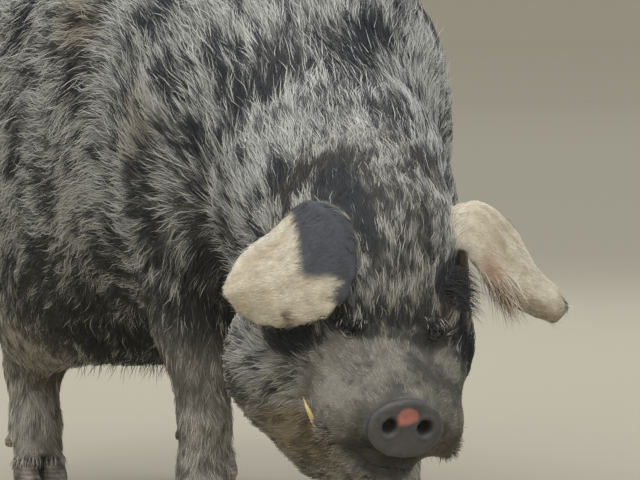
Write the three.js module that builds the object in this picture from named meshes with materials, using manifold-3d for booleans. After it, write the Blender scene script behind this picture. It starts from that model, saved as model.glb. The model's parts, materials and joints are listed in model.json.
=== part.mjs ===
// A life-size kunekune pig, standing square with its head lowered and turned a little to its right.
// Millimetres. The pig faces -Y, +X is its left side, and Z = 0 is the floor under its feet.
// Flesh is a soft blend of muscle, bone and fat masses. Closed skins of rings and columns are drawn
// in onto that blend, joined into one body, and parted again with thin flat cuts. The outline runs
// out to the tips of the coat.
import * as THREE from "three";
import { mergeVertices } from "three/addons/utils/BufferGeometryUtils.js";
import Module from "manifold-3d";

const wasm = await Module();
wasm.setup();

// Driving dimensions.
const BACK = 792; // highest point of the back
const BELLY = 168; // lowest point of the belly, at the paunch
const KEEL = 220; // underside of the barrel, between the elbows and the paunch
const WITHERS = 762; // height at the shoulder
const HALF_WIDTH = 238; // of the barrel
const BARREL_HALF_LENGTH = 405;
const LEAN = -14; // of the trunk over its right feet
const SHOULDER_Y = -245;
const RUMP_Y = 315;
const FORE_FOOT_Y = -265;
const FORE_STEP = 34; // how far the left forefoot stands behind the right
const HIND_FOOT_Y = 378;
const FORE_TRACK = 130; // from the middle of the body to the middle of a foot
const HIND_TRACK = 130;
const HIND_TUCK = 18; // how far the left hind foot stands inside its track
const HEAD_YAW = -4; // to its right
const HEAD_PITCH = 18; // nose down
const HEAD_ROLL = 9; // crown to its left
const EYE_RADIUS = 11.5;
const TAIL_LENGTH = 205;
const GAP = 0.35; // clearance between neighbouring pieces
const GROWTH = 0.5; // how far a piece is grown before it cuts its neighbour

const LEFT = 1;
const RIGHT = -1;
const SIDES = [
  ["left", LEFT],
  ["right", RIGHT],
];

const vec = (x, y, z) => new THREE.Vector3(x, y, z);
const radians = THREE.MathUtils.degToRad;
const { clamp, lerp } = THREE.MathUtils;
const mix = (a, b, t) => a.clone().lerp(b, t);
const both = (make) => SIDES.map(([, side]) => make(side));

// A place in a frame, turned by a pitch (nose down), a yaw (to its left) and a roll.
const at = (frame, x, y, z, pitch = 0, yaw = 0, roll = 0) =>
  frame
    .clone()
    .multiply(new THREE.Matrix4().makeTranslation(x, y, z))
    .multiply(
      new THREE.Matrix4().makeRotationFromEuler(
        new THREE.Euler(radians(pitch), radians(roll), radians(yaw), "ZXY"),
      ),
    );

// ---------------------------------------------------------------------------------------------
// Fields: functions of a point that are below zero inside a form and grow with the distance.

// An ellipsoid with the half-axes size, placed and turned by a matrix. Its middle may be drawn out
// straight along its y, and a power above 2 makes its cross-section squarer.
function mass(place, size, straight = 0, power = 2) {
  const inverse = place.clone().invert();
  const q = new THREE.Vector3();
  return (p) => {
    q.copy(p).applyMatrix4(inverse);
    q.y -= clamp(q.y, -straight, straight);
    const [x, y, z] = [q.x / size.x, q.y / size.y, q.z / size.z].map(Math.abs);
    const section = (x ** power + z ** power) ** (1 / power);
    const near = Math.hypot(section, y);
    if (section === 0) return (near - 1) * Math.min(size.x, size.y, size.z);
    const [across, upright] = [x, z].map((share) => section * (share / section) ** (power - 1));
    return ((near - 1) * near) / Math.hypot(across / size.x, y / size.y, upright / size.z);
  };
}

// A round limb that tapers from one radius to another.
function limb(from, fromRadius, to, toRadius) {
  const along = to.clone().sub(from);
  const squared = along.lengthSq();
  const q = new THREE.Vector3();
  return (p) => {
    const t = clamp(q.copy(p).sub(from).dot(along) / squared, 0, 1);
    return q.addScaledVector(along, -t).length() - lerp(fromRadius, toRadius, t);
  };
}

// The soft union of several fields: they run into each other over the given width.
function blend(width, ...fields) {
  return (p) =>
    fields.reduce((sofar, field) => {
      const d = field(p);
      const near = Math.max(width - Math.abs(sofar - d), 0) / width;
      return Math.min(sofar, d) - (near * near * width) / 4;
    }, 1e6);
}

// ---------------------------------------------------------------------------------------------
// Solids.

// A closed skin of rings between two poles. place puts the point at a row and a turn round it.
function skin(rings, columns, place) {
  const made = new THREE.SphereGeometry(1, columns, rings);
  const position = made.getAttribute("position");
  for (let row = 0, i = 0; row <= rings; row++) {
    for (let column = 0; column <= columns; column++, i++) {
      const p = place(row, ((column % columns) / columns) * 2 * Math.PI);
      position.setXYZ(i, p.x, p.y, p.z);
    }
  }
  return solid(made);
}

function solid(geometry) {
  geometry.deleteAttribute("normal");
  geometry.deleteAttribute("uv");
  const merged = mergeVertices(geometry, 1e-3);
  return new wasm.Manifold(
    new wasm.Mesh({
      numProp: 3,
      vertProperties: merged.getAttribute("position").array,
      triVerts: new Uint32Array(merged.index.array),
    }),
  );
}

const BISECTIONS = 18;
const SMALLEST_STEP = 1.5;

// How far a ray runs from inside a form before it leaves it.
function exitOf(field, origin, direction, reach) {
  const p = new THREE.Vector3();
  const depth = (r) => field(p.copy(origin).addScaledVector(direction, r));
  let inside = 0;
  let outside = 0;
  while (outside < reach) {
    const d = depth(outside);
    if (d >= 0) break;
    inside = outside;
    outside += Math.max(SMALLEST_STEP, -d * 0.6);
  }
  if (outside >= reach) return reach;
  for (let i = 0; i < BISECTIONS; i++) {
    const middle = (inside + outside) / 2;
    if (depth(middle) < 0) inside = middle;
    else outside = middle;
  }
  return inside;
}

// The skin of a field, drawn in from a path that runs inside it. The first and last few rings fan
// out over the two ends. up is any direction that the path never runs along.
function wrap(path, field, { rings, columns, up, caps, reach = 1e3 }) {
  const direction = new THREE.Vector3();
  return skin(rings, columns, (row, turn) => {
    const t = clamp((row - caps) / (rings - 2 * caps), 0, 1);
    const origin = path.getPoint(t);
    const tangent = path.getTangent(t);
    const side = tangent.clone().cross(up).normalize();
    const over = tangent.clone().cross(side);
    const off = clamp(caps - row, 0, caps) + clamp(rings - caps - row, -caps, 0);
    const lean = (off / caps) * (Math.PI / 2);
    direction
      .set(0, 0, 0)
      .addScaledVector(side, -Math.cos(turn) * Math.cos(lean))
      .addScaledVector(over, Math.sin(turn) * Math.cos(lean))
      .addScaledVector(tangent, -Math.sin(lean));
    return origin.addScaledVector(direction, exitOf(field, origin, direction, reach));
  });
}

// A round form along a curve, with a radius that closes to nothing at both ends.
function taper(curve, radius, { rings, columns, up }) {
  return skin(rings, columns, (row, turn) => {
    const t = row / rings;
    const tangent = curve.getTangent(t);
    const side = tangent.clone().cross(up).normalize();
    const over = tangent.clone().cross(side);
    return curve
      .getPoint(t)
      .addScaledVector(side, -Math.cos(turn) * radius(t))
      .addScaledVector(over, Math.sin(turn) * radius(t));
  });
}

// A field with its form grown all round: the shape that cuts a neighbour clear of it.
const grown = (field, growth) => (p) => field(p) - growth;

// A box as a solid: the tool of a straight cut.
function block(place, width, depth, height) {
  return solid(new THREE.BoxGeometry(width, depth, height).applyMatrix4(place));
}

// What is left of a solid behind or before a plane, as its frame's +Y runs. Each side gives up half
// of the gap.
const HUGE = 3000;
const keepBehind = (made, frame) =>
  made.subtract(block(at(frame, 0, GAP / 2 - HUGE / 2, 0), HUGE, HUGE, HUGE));
const keepBefore = (made, frame) =>
  made.subtract(block(at(frame, 0, HUGE / 2 - GAP / 2, 0), HUGE, HUGE, HUGE));

// The largest of the bodies that a cut leaves.
const largest = (made) => made.decompose().sort((a, b) => b.volume() - a.volume())[0];

// ---------------------------------------------------------------------------------------------
// Places.

const WORLD = new THREE.Matrix4();
const UP = vec(0, 0, 1);
const AHEAD = vec(0, -1, 0);
const SPINE_Z = (BACK + KEEL) / 2;

// The head's own frame: the origin is the middle of the nose disc, +Y runs back along the head.
const NOSE = vec(-104, -821, 184);
const head = at(WORLD, NOSE.x, NOSE.y, NOSE.z, HEAD_PITCH, HEAD_YAW, HEAD_ROLL);
const inHead = (x, y, z) => vec(x, y, z).applyMatrix4(head);
const POLL = inHead(-6, 225, 112);

// ---------------------------------------------------------------------------------------------
// Trunk and neck.

const bodyMass = (x, y, z, rx, ry, rz, pitch = 0) =>
  mass(at(WORLD, x + LEAN, y, z, pitch), vec(rx, ry, rz));

const BARREL_Y = 70;
const BARREL_STRAIGHT = 90;
const BARREL_POWER = 2.4; // squareness of its cross-section
const barrelField = mass(
  at(WORLD, LEAN, BARREL_Y, SPINE_Z),
  vec(HALF_WIDTH, BARREL_HALF_LENGTH - BARREL_STRAIGHT, BACK - SPINE_Z),
  BARREL_STRAIGHT,
  BARREL_POWER,
);
const trunkField = blend(
  80,
  barrelField,
  bodyMass(0, SHOULDER_Y, WITHERS - 250, 166, 180, 245), // chest
  bodyMass(0, RUMP_Y, 500, 200, 185, 240), // rump
  ...both((side) => bodyMass(side * 84, 190, BELLY + 154, 128, 215, 150)), // paunch
  ...both((side) => bodyMass(side * 108, SHOULDER_Y - 10, 410, 74, 112, 210, 12)), // shoulders
  ...both((side) => bodyMass(side * 108, RUMP_Y + 32, 350, 92, 142, 172, -6)), // hams
);
const neckField = blend(
  60,
  limb(vec(LEAN, SHOULDER_Y, 550), 148, POLL, 110),
  bodyMass(-8, -440, 372, 124, 150, 150, 20), // brisket
  limb(inHead(-8, 206, -22), 82, vec(-12, -440, 334), 108), // throat
);
const torsoField = blend(70, trunkField, neckField);

const spine = new THREE.CatmullRomCurve3([
  vec(0, 350, SPINE_Z + 10),
  vec(0, 180, SPINE_Z),
  vec(0, 0, SPINE_Z),
  vec(0, -200, SPINE_Z),
  vec(-5, -340, 445),
  vec(-16, -460, 420),
  mix(vec(-16, -460, 420), POLL, 0.7),
]);

// ---------------------------------------------------------------------------------------------
// Head.

const headMass = (x, y, z, rx, ry, rz, pitch = 0, yaw = 0) =>
  mass(at(head, x, y, z, pitch, yaw), vec(rx, ry, rz));

const skullField = blend(
  30,
  headMass(0, 188, 90, 88, 92, 106), // cranium
  headMass(0, 146, 98, 74, 44, 60, -28), // forehead
  ...both((side) => headMass(side * 50 - 8, 116, 94, 30, 20, 15)), // brows
  ...both((side) => headMass(side * 64, 166, 24, 50, 72, 76)), // cheeks
  ...both((side) => headMass(side * 60, 164, -48, 44, 66, 48)), // jowls
  headMass(0, 196, -30, 80, 72, 74), // angle of the jaw
  headMass(-88, 182, 2, 72, 62, 86), // skin of the throat, gathered by the turn of the head
  ...both((side) => limb(inHead(side * 60, 96, 36), 24, inHead(side * 78, 160, 50), 32)), // cheekbones
);
const DISC = { width: 44, height: 35, depth: 16, proud: 8, offset: -3, roll: -5 };
const muzzleMasses = blend(
  22,
  headMass(0, 92, 4, 83, 80, 58), // dome of the muzzle
  limb(inHead(0, 16, 4), 31, inHead(0, 100, 34), 36), // bridge of the nose
  ...both((side) => headMass(side * 46, 60, -12, 40, 42, 32)), // upper lips
  limb(inHead(2, 46, -56), 32, inHead(-20, 150, -64), 66), // lower jaw
);
// The flesh of the muzzle stops flat behind the front of the nose disc.
const muzzleFront = new THREE.Plane().setFromNormalAndCoplanarPoint(
  inHead(0, -1, 0).sub(NOSE),
  inHead(0, DISC.proud, 0),
);
const muzzleField = (p) => Math.max(muzzleMasses(p), muzzleFront.distanceToPoint(p));
const headField = blend(20, skullField, muzzleField);

const headAxis = new THREE.CatmullRomCurve3([
  inHead(0, 34, -4),
  inHead(0, 66, -6),
  inHead(0, 110, 0),
  inHead(0, 165, 16),
  inHead(0, 225, 30),
]);

// Head, neck and trunk as one form. The torso's skin and the head's meet at the nape.
const bodyField = blend(34, headField, torsoField);
const torso = (growth = 0) =>
  wrap(spine, grown(bodyField, growth), { rings: 34, columns: 26, up: UP, caps: 7, reach: 420 });
const wholeHead = (growth = 0) =>
  wrap(headAxis, grown(bodyField, growth), { rings: 30, columns: 24, up: UP, caps: 8, reach: 250 });

// ---------------------------------------------------------------------------------------------
// Legs. Each is one run of masses from inside the trunk to the pastern, on two claws.

const footOf = (fore, side) =>
  fore
    ? vec(side * FORE_TRACK, FORE_FOOT_Y + (side === LEFT ? FORE_STEP : 0), 0)
    : vec(side * HIND_TRACK - (side === LEFT ? HIND_TUCK : 0), HIND_FOOT_Y, 0);

function foreleg(side) {
  const { x, y } = footOf(true, side);
  return blend(
    22,
    limb(vec(x - side * 16, y + 22, 330), 50, vec(x, y + 26, 262), 52), // upper arm
    limb(vec(x, y + 80, 312), 36, vec(x, y + 76, 252), 26), // elbow
    limb(vec(x, y + 26, 262), 50, vec(x, y + 6, 172), 29), // forearm
    limb(vec(x, y + 4, 178), 29, vec(x, y, 146), 30), // knee
    limb(vec(x, y + 4, 150), 27, vec(x, y + 8, 86), 27), // cannon
    limb(vec(x, y + 8, 84), 32, vec(x, y - 6, 56), 31), // fetlock and pastern
  );
}

function hindleg(side) {
  const { x, y } = footOf(false, side);
  return blend(
    26,
    limb(vec(x - side * 14, y - 60, 330), 80, vec(x + side * 4, y - 72, 262), 70), // thigh
    limb(vec(x + side * 4, y - 72, 252), 58, vec(x, y + 12, 172), 37), // gaskin
    limb(vec(x, y + 22, 196), 19, vec(x, y + 16, 160), 30), // point of the hock
    limb(vec(x, y + 12, 168), 34, vec(x, y + 4, 86), 31), // cannon
    limb(vec(x, y + 4, 84), 34, vec(x, y - 10, 56), 32), // fetlock and pastern
  );
}

// A leg's masses, the path through them, and the round tool with a tilted top that takes it off.
function legOf(fore, side) {
  const { x, y } = footOf(fore, side);
  const path = fore
    ? [vec(x - side * 26, y + 22, 325), vec(x, y + 24, 262), vec(x, y + 4, 165), vec(x, y + 6, 90)]
    : [vec(x - side * 26, y - 60, 335), vec(x, y - 58, 262), vec(x, y + 8, 165), vec(x, y + 4, 90)];
  return {
    x,
    y,
    field: fore ? foreleg(side) : hindleg(side),
    path: new THREE.CatmullRomCurve3([...path, vec(x, y - 8, 48)]),
    reach: fore ? 92 : 112,
    room: fore ? 82 : 108,
    top: fore ? at(WORLD, x, y + 16, 258, 8) : at(WORLD, x, y - 42, 272, -16),
  };
}

const legs = [
  ["fore", true],
  ["hind", false],
].flatMap(([where, fore]) =>
  SIDES.map(([name, side]) => ({
    name: `${where}leg_${name}`,
    foot: `${where}_${name}`,
    side,
    ...legOf(fore, side),
  })),
);

const LEG_BLEND = 34; // how widely a leg melts into the trunk
const FOOT_BLEND = 8; // and into its claws
const TOOL_HEIGHT = 420;

function legSkin({ x, y, field, path, reach }, growth = 0) {
  const shod = blend(FOOT_BLEND, field, clawField(x, y, LEFT), clawField(x, y, RIGHT));
  const melted = grown(blend(LEG_BLEND, shod, bodyField), growth);
  return wrap(path, melted, { rings: 19, columns: 12, up: AHEAD, caps: 4, reach });
}

// An upright cylinder from under the floor to the tilted plane.
function legTool({ top, room }, margin) {
  const { x, y } = vec().setFromMatrixPosition(top);
  const tool = new THREE.CylinderGeometry(room + margin, room + margin, 2 * TOOL_HEIGHT, 18);
  tool.rotateX(Math.PI / 2).translate(x, y, 0);
  return solid(tool).subtract(block(at(top, 0, 0, HUGE / 2 + margin), HUGE, HUGE, HUGE));
}

// ---- feet ----

const CORONET = 41; // height where hair gives way to horn, at the front of the foot
const CORONET_SLOPE = 14; // degrees, lower towards the heel
const CLEFT_SPLAY = 5; // degrees that each claw opens away from the other
const CLEFT_END = 32; // where the two would meet, behind the foot
const DEWCLAW = { spread: 21, height: 66, drop: 26, back: 34, radius: 9.5 };

// One claw: a blunt horn shoe that leans forward over a flat sole.
const clawField = (x, y, side) =>
  blend(
    10,
    limb(vec(x + side * 17, y - 8, 48), 16, vec(x + side * 18, y - 20, 18), 18),
    limb(vec(x + side * 18, y - 14, 10), 17, vec(x + side * 15, y - 46, 8), 10),
    limb(vec(x + side * 17, y + 10, 32), 14, vec(x + side * 17, y + 12, 8), 13), // heel
  );

// The sloping plane at the top of the horn. Behind it is the horn, before it the hair.
const coronetOf = ({ x, y }) => at(WORLD, x, y - 20, CORONET, -90 - CORONET_SLOPE);

function claw(leg, side) {
  const { x, y } = leg;
  const path = new THREE.LineCurve3(vec(x + side * 17, y, 34), vec(x + side * 17, y - 22, 18));
  const whole = wrap(path, clawField(x, y, side), { rings: 7, columns: 8, up: UP, caps: 3 });
  const cleft = at(WORLD, x + side * GAP, y + CLEFT_END, 0, 0, (CLEFT_SPLAY - 90) * side);
  const floor = at(WORLD, x, y, -GAP / 2, 90);
  return largest([coronetOf(leg), cleft, floor].reduce(keepBehind, whole));
}

// A dewclaw: a small blunt horn behind and beside the pastern, clear of the floor.
function dewclaw({ x, y }, side) {
  const from = vec(x + side * (DEWCLAW.spread - 7), y + 12, DEWCLAW.height + DEWCLAW.drop / 2);
  const to = from.clone().add(vec(side * 14, DEWCLAW.back, -DEWCLAW.drop));
  const radius = (t) => DEWCLAW.radius * Math.sin(Math.PI * t ** 1.2) ** 0.55;
  return taper(new THREE.LineCurve3(from, to), radius, { rings: 5, columns: 7, up: UP });
}

// ---------------------------------------------------------------------------------------------
// Ears, eyes, nose, mouth and tail.

// An ear is a leaf hung between a front and a back edge that run from inside the skull to the tip.
// It is thickest at its root, and crowned across.
const EAR = { thickness: 9, crown: 15, rings: 11, columns: 12, rootShare: 0.16 };

function earSkin(edges) {
  const [one, other] = edges.map((points) => new THREE.CatmullRomCurve3(points.map((p) => inHead(...p))));
  return skin(EAR.rings, EAR.columns, (row, turn) => {
    const t = row / EAR.rings;
    const u = -Math.cos(turn);
    const from = one.getPointAt(t);
    const across = other.getPointAt(t).sub(from);
    const along = mix(one.getTangentAt(t), other.getTangentAt(t), 0.5);
    const over = along.cross(across).normalize();
    const open = Math.min(1, t / EAR.rootShare, EAR.rings - row);
    const thick = EAR.thickness * (1.3 - 0.8 * t) * Math.min(1, across.length() / 30);
    const rise = EAR.crown * (1 - u * u) * Math.min(1, across.length() / 60);
    return from
      .addScaledVector(across, (1 + u * open) / 2)
      .addScaledVector(over, open * (rise + (thick / 2) * Math.sin(turn)));
  });
}

// The two edges of each ear, in the head's frame: its back and front edge on the right, and its
// front and back edge on the left, which is carried higher.
const EARS = {
  right: [
    [[-60, 226, 140], [-96, 212, 172], [-147, 178, 140], [-180, 152, 122], [-206, 118, 85]],
    [[-36, 178, 130], [-62, 140, 166], [-62, 94, 118], [-98, 85, 76], [-165, 100, 58], [-206, 118, 85]],
  ],
  left: [
    [[36, 176, 130], [58, 140, 166], [92, 120, 135], [134, 108, 112], [172, 107, 104], [204, 112, 106]],
    [[62, 226, 156], [98, 208, 200], [139, 194, 182], [168, 164, 146], [193, 118, 138]],
  ],
};

// The eyes are set a little into the skull, close above the muzzle; the right one sits lower, as the
// whole head is a little skewed.
const EYES = { left: [36, 96, 80], right: [-57, 98, 65] };
const ball = (centre, radius) =>
  solid(new THREE.SphereGeometry(radius, 10, 7).applyMatrix4(at(WORLD, centre.x, centre.y, centre.z)));

// A lower tusk, out of the corner of the mouth and curling up and back.
const TUSK = { radius: 5.5, rings: 8, columns: 8 };
function tusk(side, growth) {
  const curve = new THREE.QuadraticBezierCurve3(
    inHead(side * 58, 58, -46),
    inHead(side * 88, 58, -28),
    inHead(side * 95, 88, -6),
  );
  const radius = (t) => (TUSK.radius * (1 - t ** 1.8) + growth) * Math.min(1, 5 * t, 12 * (1 - t));
  return taper(curve, radius, { ...TUSK, up: UP });
}

// The nose disc: a dished oval pad with a rounded rim.
const pad = at(head, DISC.offset, 0, 0, 0, 0, DISC.roll);
function disc(growth) {
  const profile = [
    [0, 1.5],
    [0.55, 0.5],
    [0.86, 0],
    [0.97, 2.5],
    [1, 6],
    [0.94, DISC.depth],
    [0, DISC.depth],
  ].map(([r, y]) => new THREE.Vector2(r, -y));
  const reach = new THREE.Matrix4().makeScale(DISC.width + growth, 1, DISC.height + growth);
  const turned = new THREE.Matrix4().makeRotationX(Math.PI);
  const shape = new THREE.LatheGeometry(profile.reverse(), 16);
  return solid(shape.applyMatrix4(at(pad, 0, growth, 0).multiply(reach).multiply(turned)));
}

const NOSTRIL = { spread: 20, height: 3, width: 7.5, tall: 8.5, depth: 11 };
const nostril = (side) =>
  solid(
    new THREE.SphereGeometry(1, 8, 6).applyMatrix4(
      at(pad, side * NOSTRIL.spread, 0, NOSTRIL.height).scale(
        vec(NOSTRIL.width, NOSTRIL.depth, NOSTRIL.tall),
      ),
    ),
  );

// Everything under the line of the mouth, back to the angle of the jaw: the tool of the lower jaw.
const MOUTH = { front: -39, dip: -55, corner: -10, cornerY: 90, backY: 168, floor: -160 };
function jawTool(margin) {
  const outline = new THREE.Shape();
  outline.moveTo(-60, MOUTH.front + margin);
  outline.lineTo(6, MOUTH.front + margin);
  outline.splineThru([
    new THREE.Vector2(26, MOUTH.dip + margin),
    new THREE.Vector2(58, MOUTH.dip + 22 + margin),
    new THREE.Vector2(MOUTH.cornerY, MOUTH.corner + margin),
  ]);
  outline.lineTo(MOUTH.backY + margin, MOUTH.corner - 46);
  outline.lineTo(MOUTH.backY + margin, MOUTH.floor);
  outline.lineTo(-60, MOUTH.floor);
  const tool = new THREE.ExtrudeGeometry(outline, { depth: 400, bevelEnabled: false, curveSegments: 4 });
  const stand = new THREE.Matrix4().makeBasis(vec(0, 1, 0), vec(0, 0, 1), vec(1, 0, 0));
  return solid(tool.applyMatrix4(at(head, -200, 0, 0).multiply(stand)));
}

// The tail hangs from its root near the top of the rump, kinks once and ends in a tuft.
const TAIL_ROOT = 645;
function tailSkin() {
  const place = (x, y, share) => vec(LEAN + x, y, TAIL_ROOT - share * TAIL_LENGTH);
  const curve = new THREE.CatmullRomCurve3([
    place(0, 446, 0.06),
    place(0, 490, 0),
    place(4, 518, 0.16),
    place(12, 530, 0.42),
    place(8, 526, 0.68),
    place(0, 532, 1),
  ]);
  const radius = (t) => lerp(27, 9, Math.sqrt(t)) * Math.min(1, 9 * t, 1.5 * Math.sqrt(1 - t));
  return taper(curve, radius, { rings: 12, columns: 9, up: vec(1, 0, 0) });
}

// ---------------------------------------------------------------------------------------------
// Assembly.

const pig = new THREE.Group();

const COAT = { color: 0x5d5c58, roughness: 0.85, metalness: 0 };
const CREAM = { color: 0xb9ad95, roughness: 0.85, metalness: 0 };
const NOSE_SKIN = { color: 0x3d3b3d, roughness: 0.45, metalness: 0 };
const HORN = { color: 0x3c3733, roughness: 0.5, metalness: 0 };
const IVORY = { color: 0xc9b06a, roughness: 0.35, metalness: 0 };
const EYE = { color: 0x1c1410, roughness: 0.08, metalness: 0 };

function add(name, made, finish) {
  const { vertProperties, triVerts } = made.getMesh();
  const geometry = new THREE.BufferGeometry()
    .setAttribute("position", new THREE.BufferAttribute(vertProperties, 3))
    .setIndex(new THREE.BufferAttribute(triVerts, 1));
  geometry.computeVertexNormals();
  const mesh = new THREE.Mesh(geometry, new THREE.MeshStandardMaterial(finish));
  mesh.name = name;
  pig.add(mesh);
}

const nape = at(head, 0, 232, 40, -20); // behind the jowls and ears
const collar = at(WORLD, 0, -395, 430, -22); // before the shoulder
const muzzleBack = at(head, 0, 104, 0, 11); // where the muzzle meets the cheeks

// The trunk with its legs joined on, and the legs and claws taken off it in turn.
let body = keepBehind(torso(), nape);
for (const leg of legs) body = body.add(legSkin(leg));
for (const leg of legs) {
  add(leg.name, largest(keepBefore(body.intersect(legTool(leg, 0)), coronetOf(leg))), COAT);
  body = body.subtract(legTool(leg, GAP));
  const shank = legSkin(leg, GROWTH);
  for (const [name, side] of [["outer", leg.side], ["inner", -leg.side]]) {
    add(`claw_${leg.foot}_${name}`, claw(leg, side), HORN);
    add(`dewclaw_${leg.foot}_${name}`, largest(dewclaw(leg, side).subtract(shank)), HORN);
  }
}
add("neck", largest(keepBefore(body, collar)), COAT);
add("trunk", largest(keepBehind(body, collar)), COAT);
add("tail", largest(tailSkin().subtract(torso(GROWTH))), COAT);

// The head, and the pieces that are set in it.
let skull = keepBefore(wholeHead(), nape);
for (const [name, side] of SIDES) {
  const eye = inHead(...EYES[name]);
  add(`eye_${name}`, ball(eye, EYE_RADIUS), EYE);
  add(`tusk_${name}`, tusk(side, 0), IVORY);
  skull = skull.subtract(ball(eye, EYE_RADIUS + GAP)).subtract(tusk(side, GAP));
  const ear = earSkin(EARS[name]).subtract(wholeHead(GROWTH)).subtract(torso(GROWTH));
  add(`ear_${name}`, largest(ear), CREAM);
}
add("nose_disc", disc(0).subtract(nostril(LEFT)).subtract(nostril(RIGHT)), NOSE_SKIN);
skull = skull.subtract(disc(GAP));
add("lower_jaw", largest(skull.intersect(jawTool(0))), COAT);
const upper = skull.subtract(jawTool(GAP));
add("snout", largest(keepBefore(upper, muzzleBack)), COAT);
add("head", largest(keepBehind(upper, muzzleBack)), COAT);

// The origin is on the floor under the middle of the whole animal.
const { min, max } = new THREE.Box3().setFromObject(pig);
pig.position.set(-(min.x + max.x) / 2, -(min.y + max.y) / 2, 0);

export default pig;
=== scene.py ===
# %% [markdown]
# # A kunekune pig
# A life-size still model of a heavy, hairy pig with tusks, half-lopped ears and a short dished face.
# The solids of the CAD model give its outline out to the tips of the coat. This script lays one skin
# inside them, models the folds of that skin, grows the coat on it as thin tufts of solid mesh, and
# finishes the parts with no hair: nose disc, eyes, tusks and hooves. All is in metres, in the solids'
# frame.

import json
import math

import bmesh
import bpy
import numpy as np
from mathutils import Matrix, Vector
from mathutils.bvhtree import BVHTree
from mathutils.kdtree import KDTree

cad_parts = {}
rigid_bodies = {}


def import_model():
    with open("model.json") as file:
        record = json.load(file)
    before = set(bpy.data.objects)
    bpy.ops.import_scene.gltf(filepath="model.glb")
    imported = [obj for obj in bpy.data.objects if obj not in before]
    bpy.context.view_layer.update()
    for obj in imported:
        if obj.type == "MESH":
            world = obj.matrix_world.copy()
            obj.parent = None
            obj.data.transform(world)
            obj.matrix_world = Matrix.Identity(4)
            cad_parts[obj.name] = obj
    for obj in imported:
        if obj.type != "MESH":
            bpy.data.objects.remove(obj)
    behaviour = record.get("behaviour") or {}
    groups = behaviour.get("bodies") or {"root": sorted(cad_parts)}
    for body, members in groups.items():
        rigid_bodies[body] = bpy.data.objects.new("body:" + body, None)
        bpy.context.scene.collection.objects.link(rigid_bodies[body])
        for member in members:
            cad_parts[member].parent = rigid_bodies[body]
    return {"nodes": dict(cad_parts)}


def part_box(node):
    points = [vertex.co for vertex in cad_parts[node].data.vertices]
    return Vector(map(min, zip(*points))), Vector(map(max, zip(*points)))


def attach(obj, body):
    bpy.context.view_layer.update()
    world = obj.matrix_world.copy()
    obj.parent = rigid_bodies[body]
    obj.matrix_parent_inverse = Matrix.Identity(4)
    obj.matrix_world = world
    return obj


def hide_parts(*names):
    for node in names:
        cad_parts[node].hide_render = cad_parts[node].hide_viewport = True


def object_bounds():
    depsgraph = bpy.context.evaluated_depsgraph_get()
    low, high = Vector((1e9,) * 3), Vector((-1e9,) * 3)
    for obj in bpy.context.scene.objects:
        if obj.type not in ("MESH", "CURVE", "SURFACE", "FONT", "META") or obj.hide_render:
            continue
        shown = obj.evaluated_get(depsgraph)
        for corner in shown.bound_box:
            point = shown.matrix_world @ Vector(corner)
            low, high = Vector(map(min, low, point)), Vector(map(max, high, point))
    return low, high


bpy.data.batch_remove(bpy.data.objects)
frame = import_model()
cad_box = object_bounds()
nodes = frame["nodes"]
MM = 0.001


def placed(name, data):
    """A new object in the scene that shows the data."""
    thing = bpy.data.objects.new(name, data)
    bpy.context.scene.collection.objects.link(thing)
    return thing


print("the solids span", [round(c, 3) for corner in cad_box for c in corner])

# %% [markdown]
# ## The camera
# The animal is seen from its front right, from about four and a half metres with a long lens, a little
# above its head. The frame is a tight one: the rump and most of the hooves lie outside it. The camera's
# place is measured from the middle of the nose disc, so it follows the solids.

# %% Camera
CAMERA_FROM_NOSE = Vector((-1.7345, -4.0521, 0.4242))
LOOKS_DOWN, LOOKS_ASIDE = math.radians(2.91), math.radians(-22)
LENS, SENSOR = 233.4, 36
disc_low, disc_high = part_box("nose_disc")
nose_middle = (disc_low + disc_high) / 2
camera = placed("camera", bpy.data.cameras.new("camera"))
camera.location = nose_middle + CAMERA_FROM_NOSE
camera.rotation_euler = (math.radians(90) - LOOKS_DOWN, 0, LOOKS_ASIDE)
camera.data.sensor_width = SENSOR
camera.data.lens = LENS
camera.data.clip_end = 200
bpy.context.scene.camera = camera

# %% [markdown]
# ## Floor and light
# A pale plain floor curves up into a wall far away, as in a studio, so there is no horizon line behind
# the animal. A profile of a few points is spun round the upright axis for it. The light is that of a
# bright overcast sky: an even dome, and two large soft lamps that are a little stronger.

# %% Floor and lights
FLOOR_COLOUR = (0.39, 0.355, 0.272, 1)
FLOOR_PROFILE = [(0, 0), (30, 0), (34, 0.5), (37, 1.8), (39, 4), (40, 9)]  # radius, height
SKY_COLOUR, SKY_STRENGTH = (0.90, 0.92, 0.93, 1), 0.92
# Place, aim, width in metres, watts and colour of each lamp.
LAMPS = {
    "key": ((-1.6, -2.2, 3.6), (0, -0.2, 0.4), 2.6, 75, (1, 0.98, 0.94)),
    "back": ((1.5, 3.2, 3.2), (0, 0.2, 0.4), 3.0, 60, (0.96, 0.98, 1)),
}


def studio_floor():
    made = bmesh.new()
    profile = [made.verts.new((radius, 0, height)) for radius, height in FLOOR_PROFILE]
    for pair in zip(profile, profile[1:]):
        made.edges.new(pair)
    bmesh.ops.spin(
        made, geom=made.verts[:] + made.edges[:], axis=(0, 0, 1), angle=math.tau, steps=96, use_merge=True
    )
    bmesh.ops.remove_doubles(made, verts=made.verts, dist=0.001)
    mesh = bpy.data.meshes.new("floor")
    made.to_mesh(mesh)
    made.free()
    floor = placed("floor", mesh)
    material = bpy.data.materials.new("floor")
    material.use_nodes = True
    shader = material.node_tree.nodes["Principled BSDF"]
    shader.inputs["Base Color"].default_value = FLOOR_COLOUR
    shader.inputs["Roughness"].default_value = 0.9
    mesh.materials.append(material)


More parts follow.
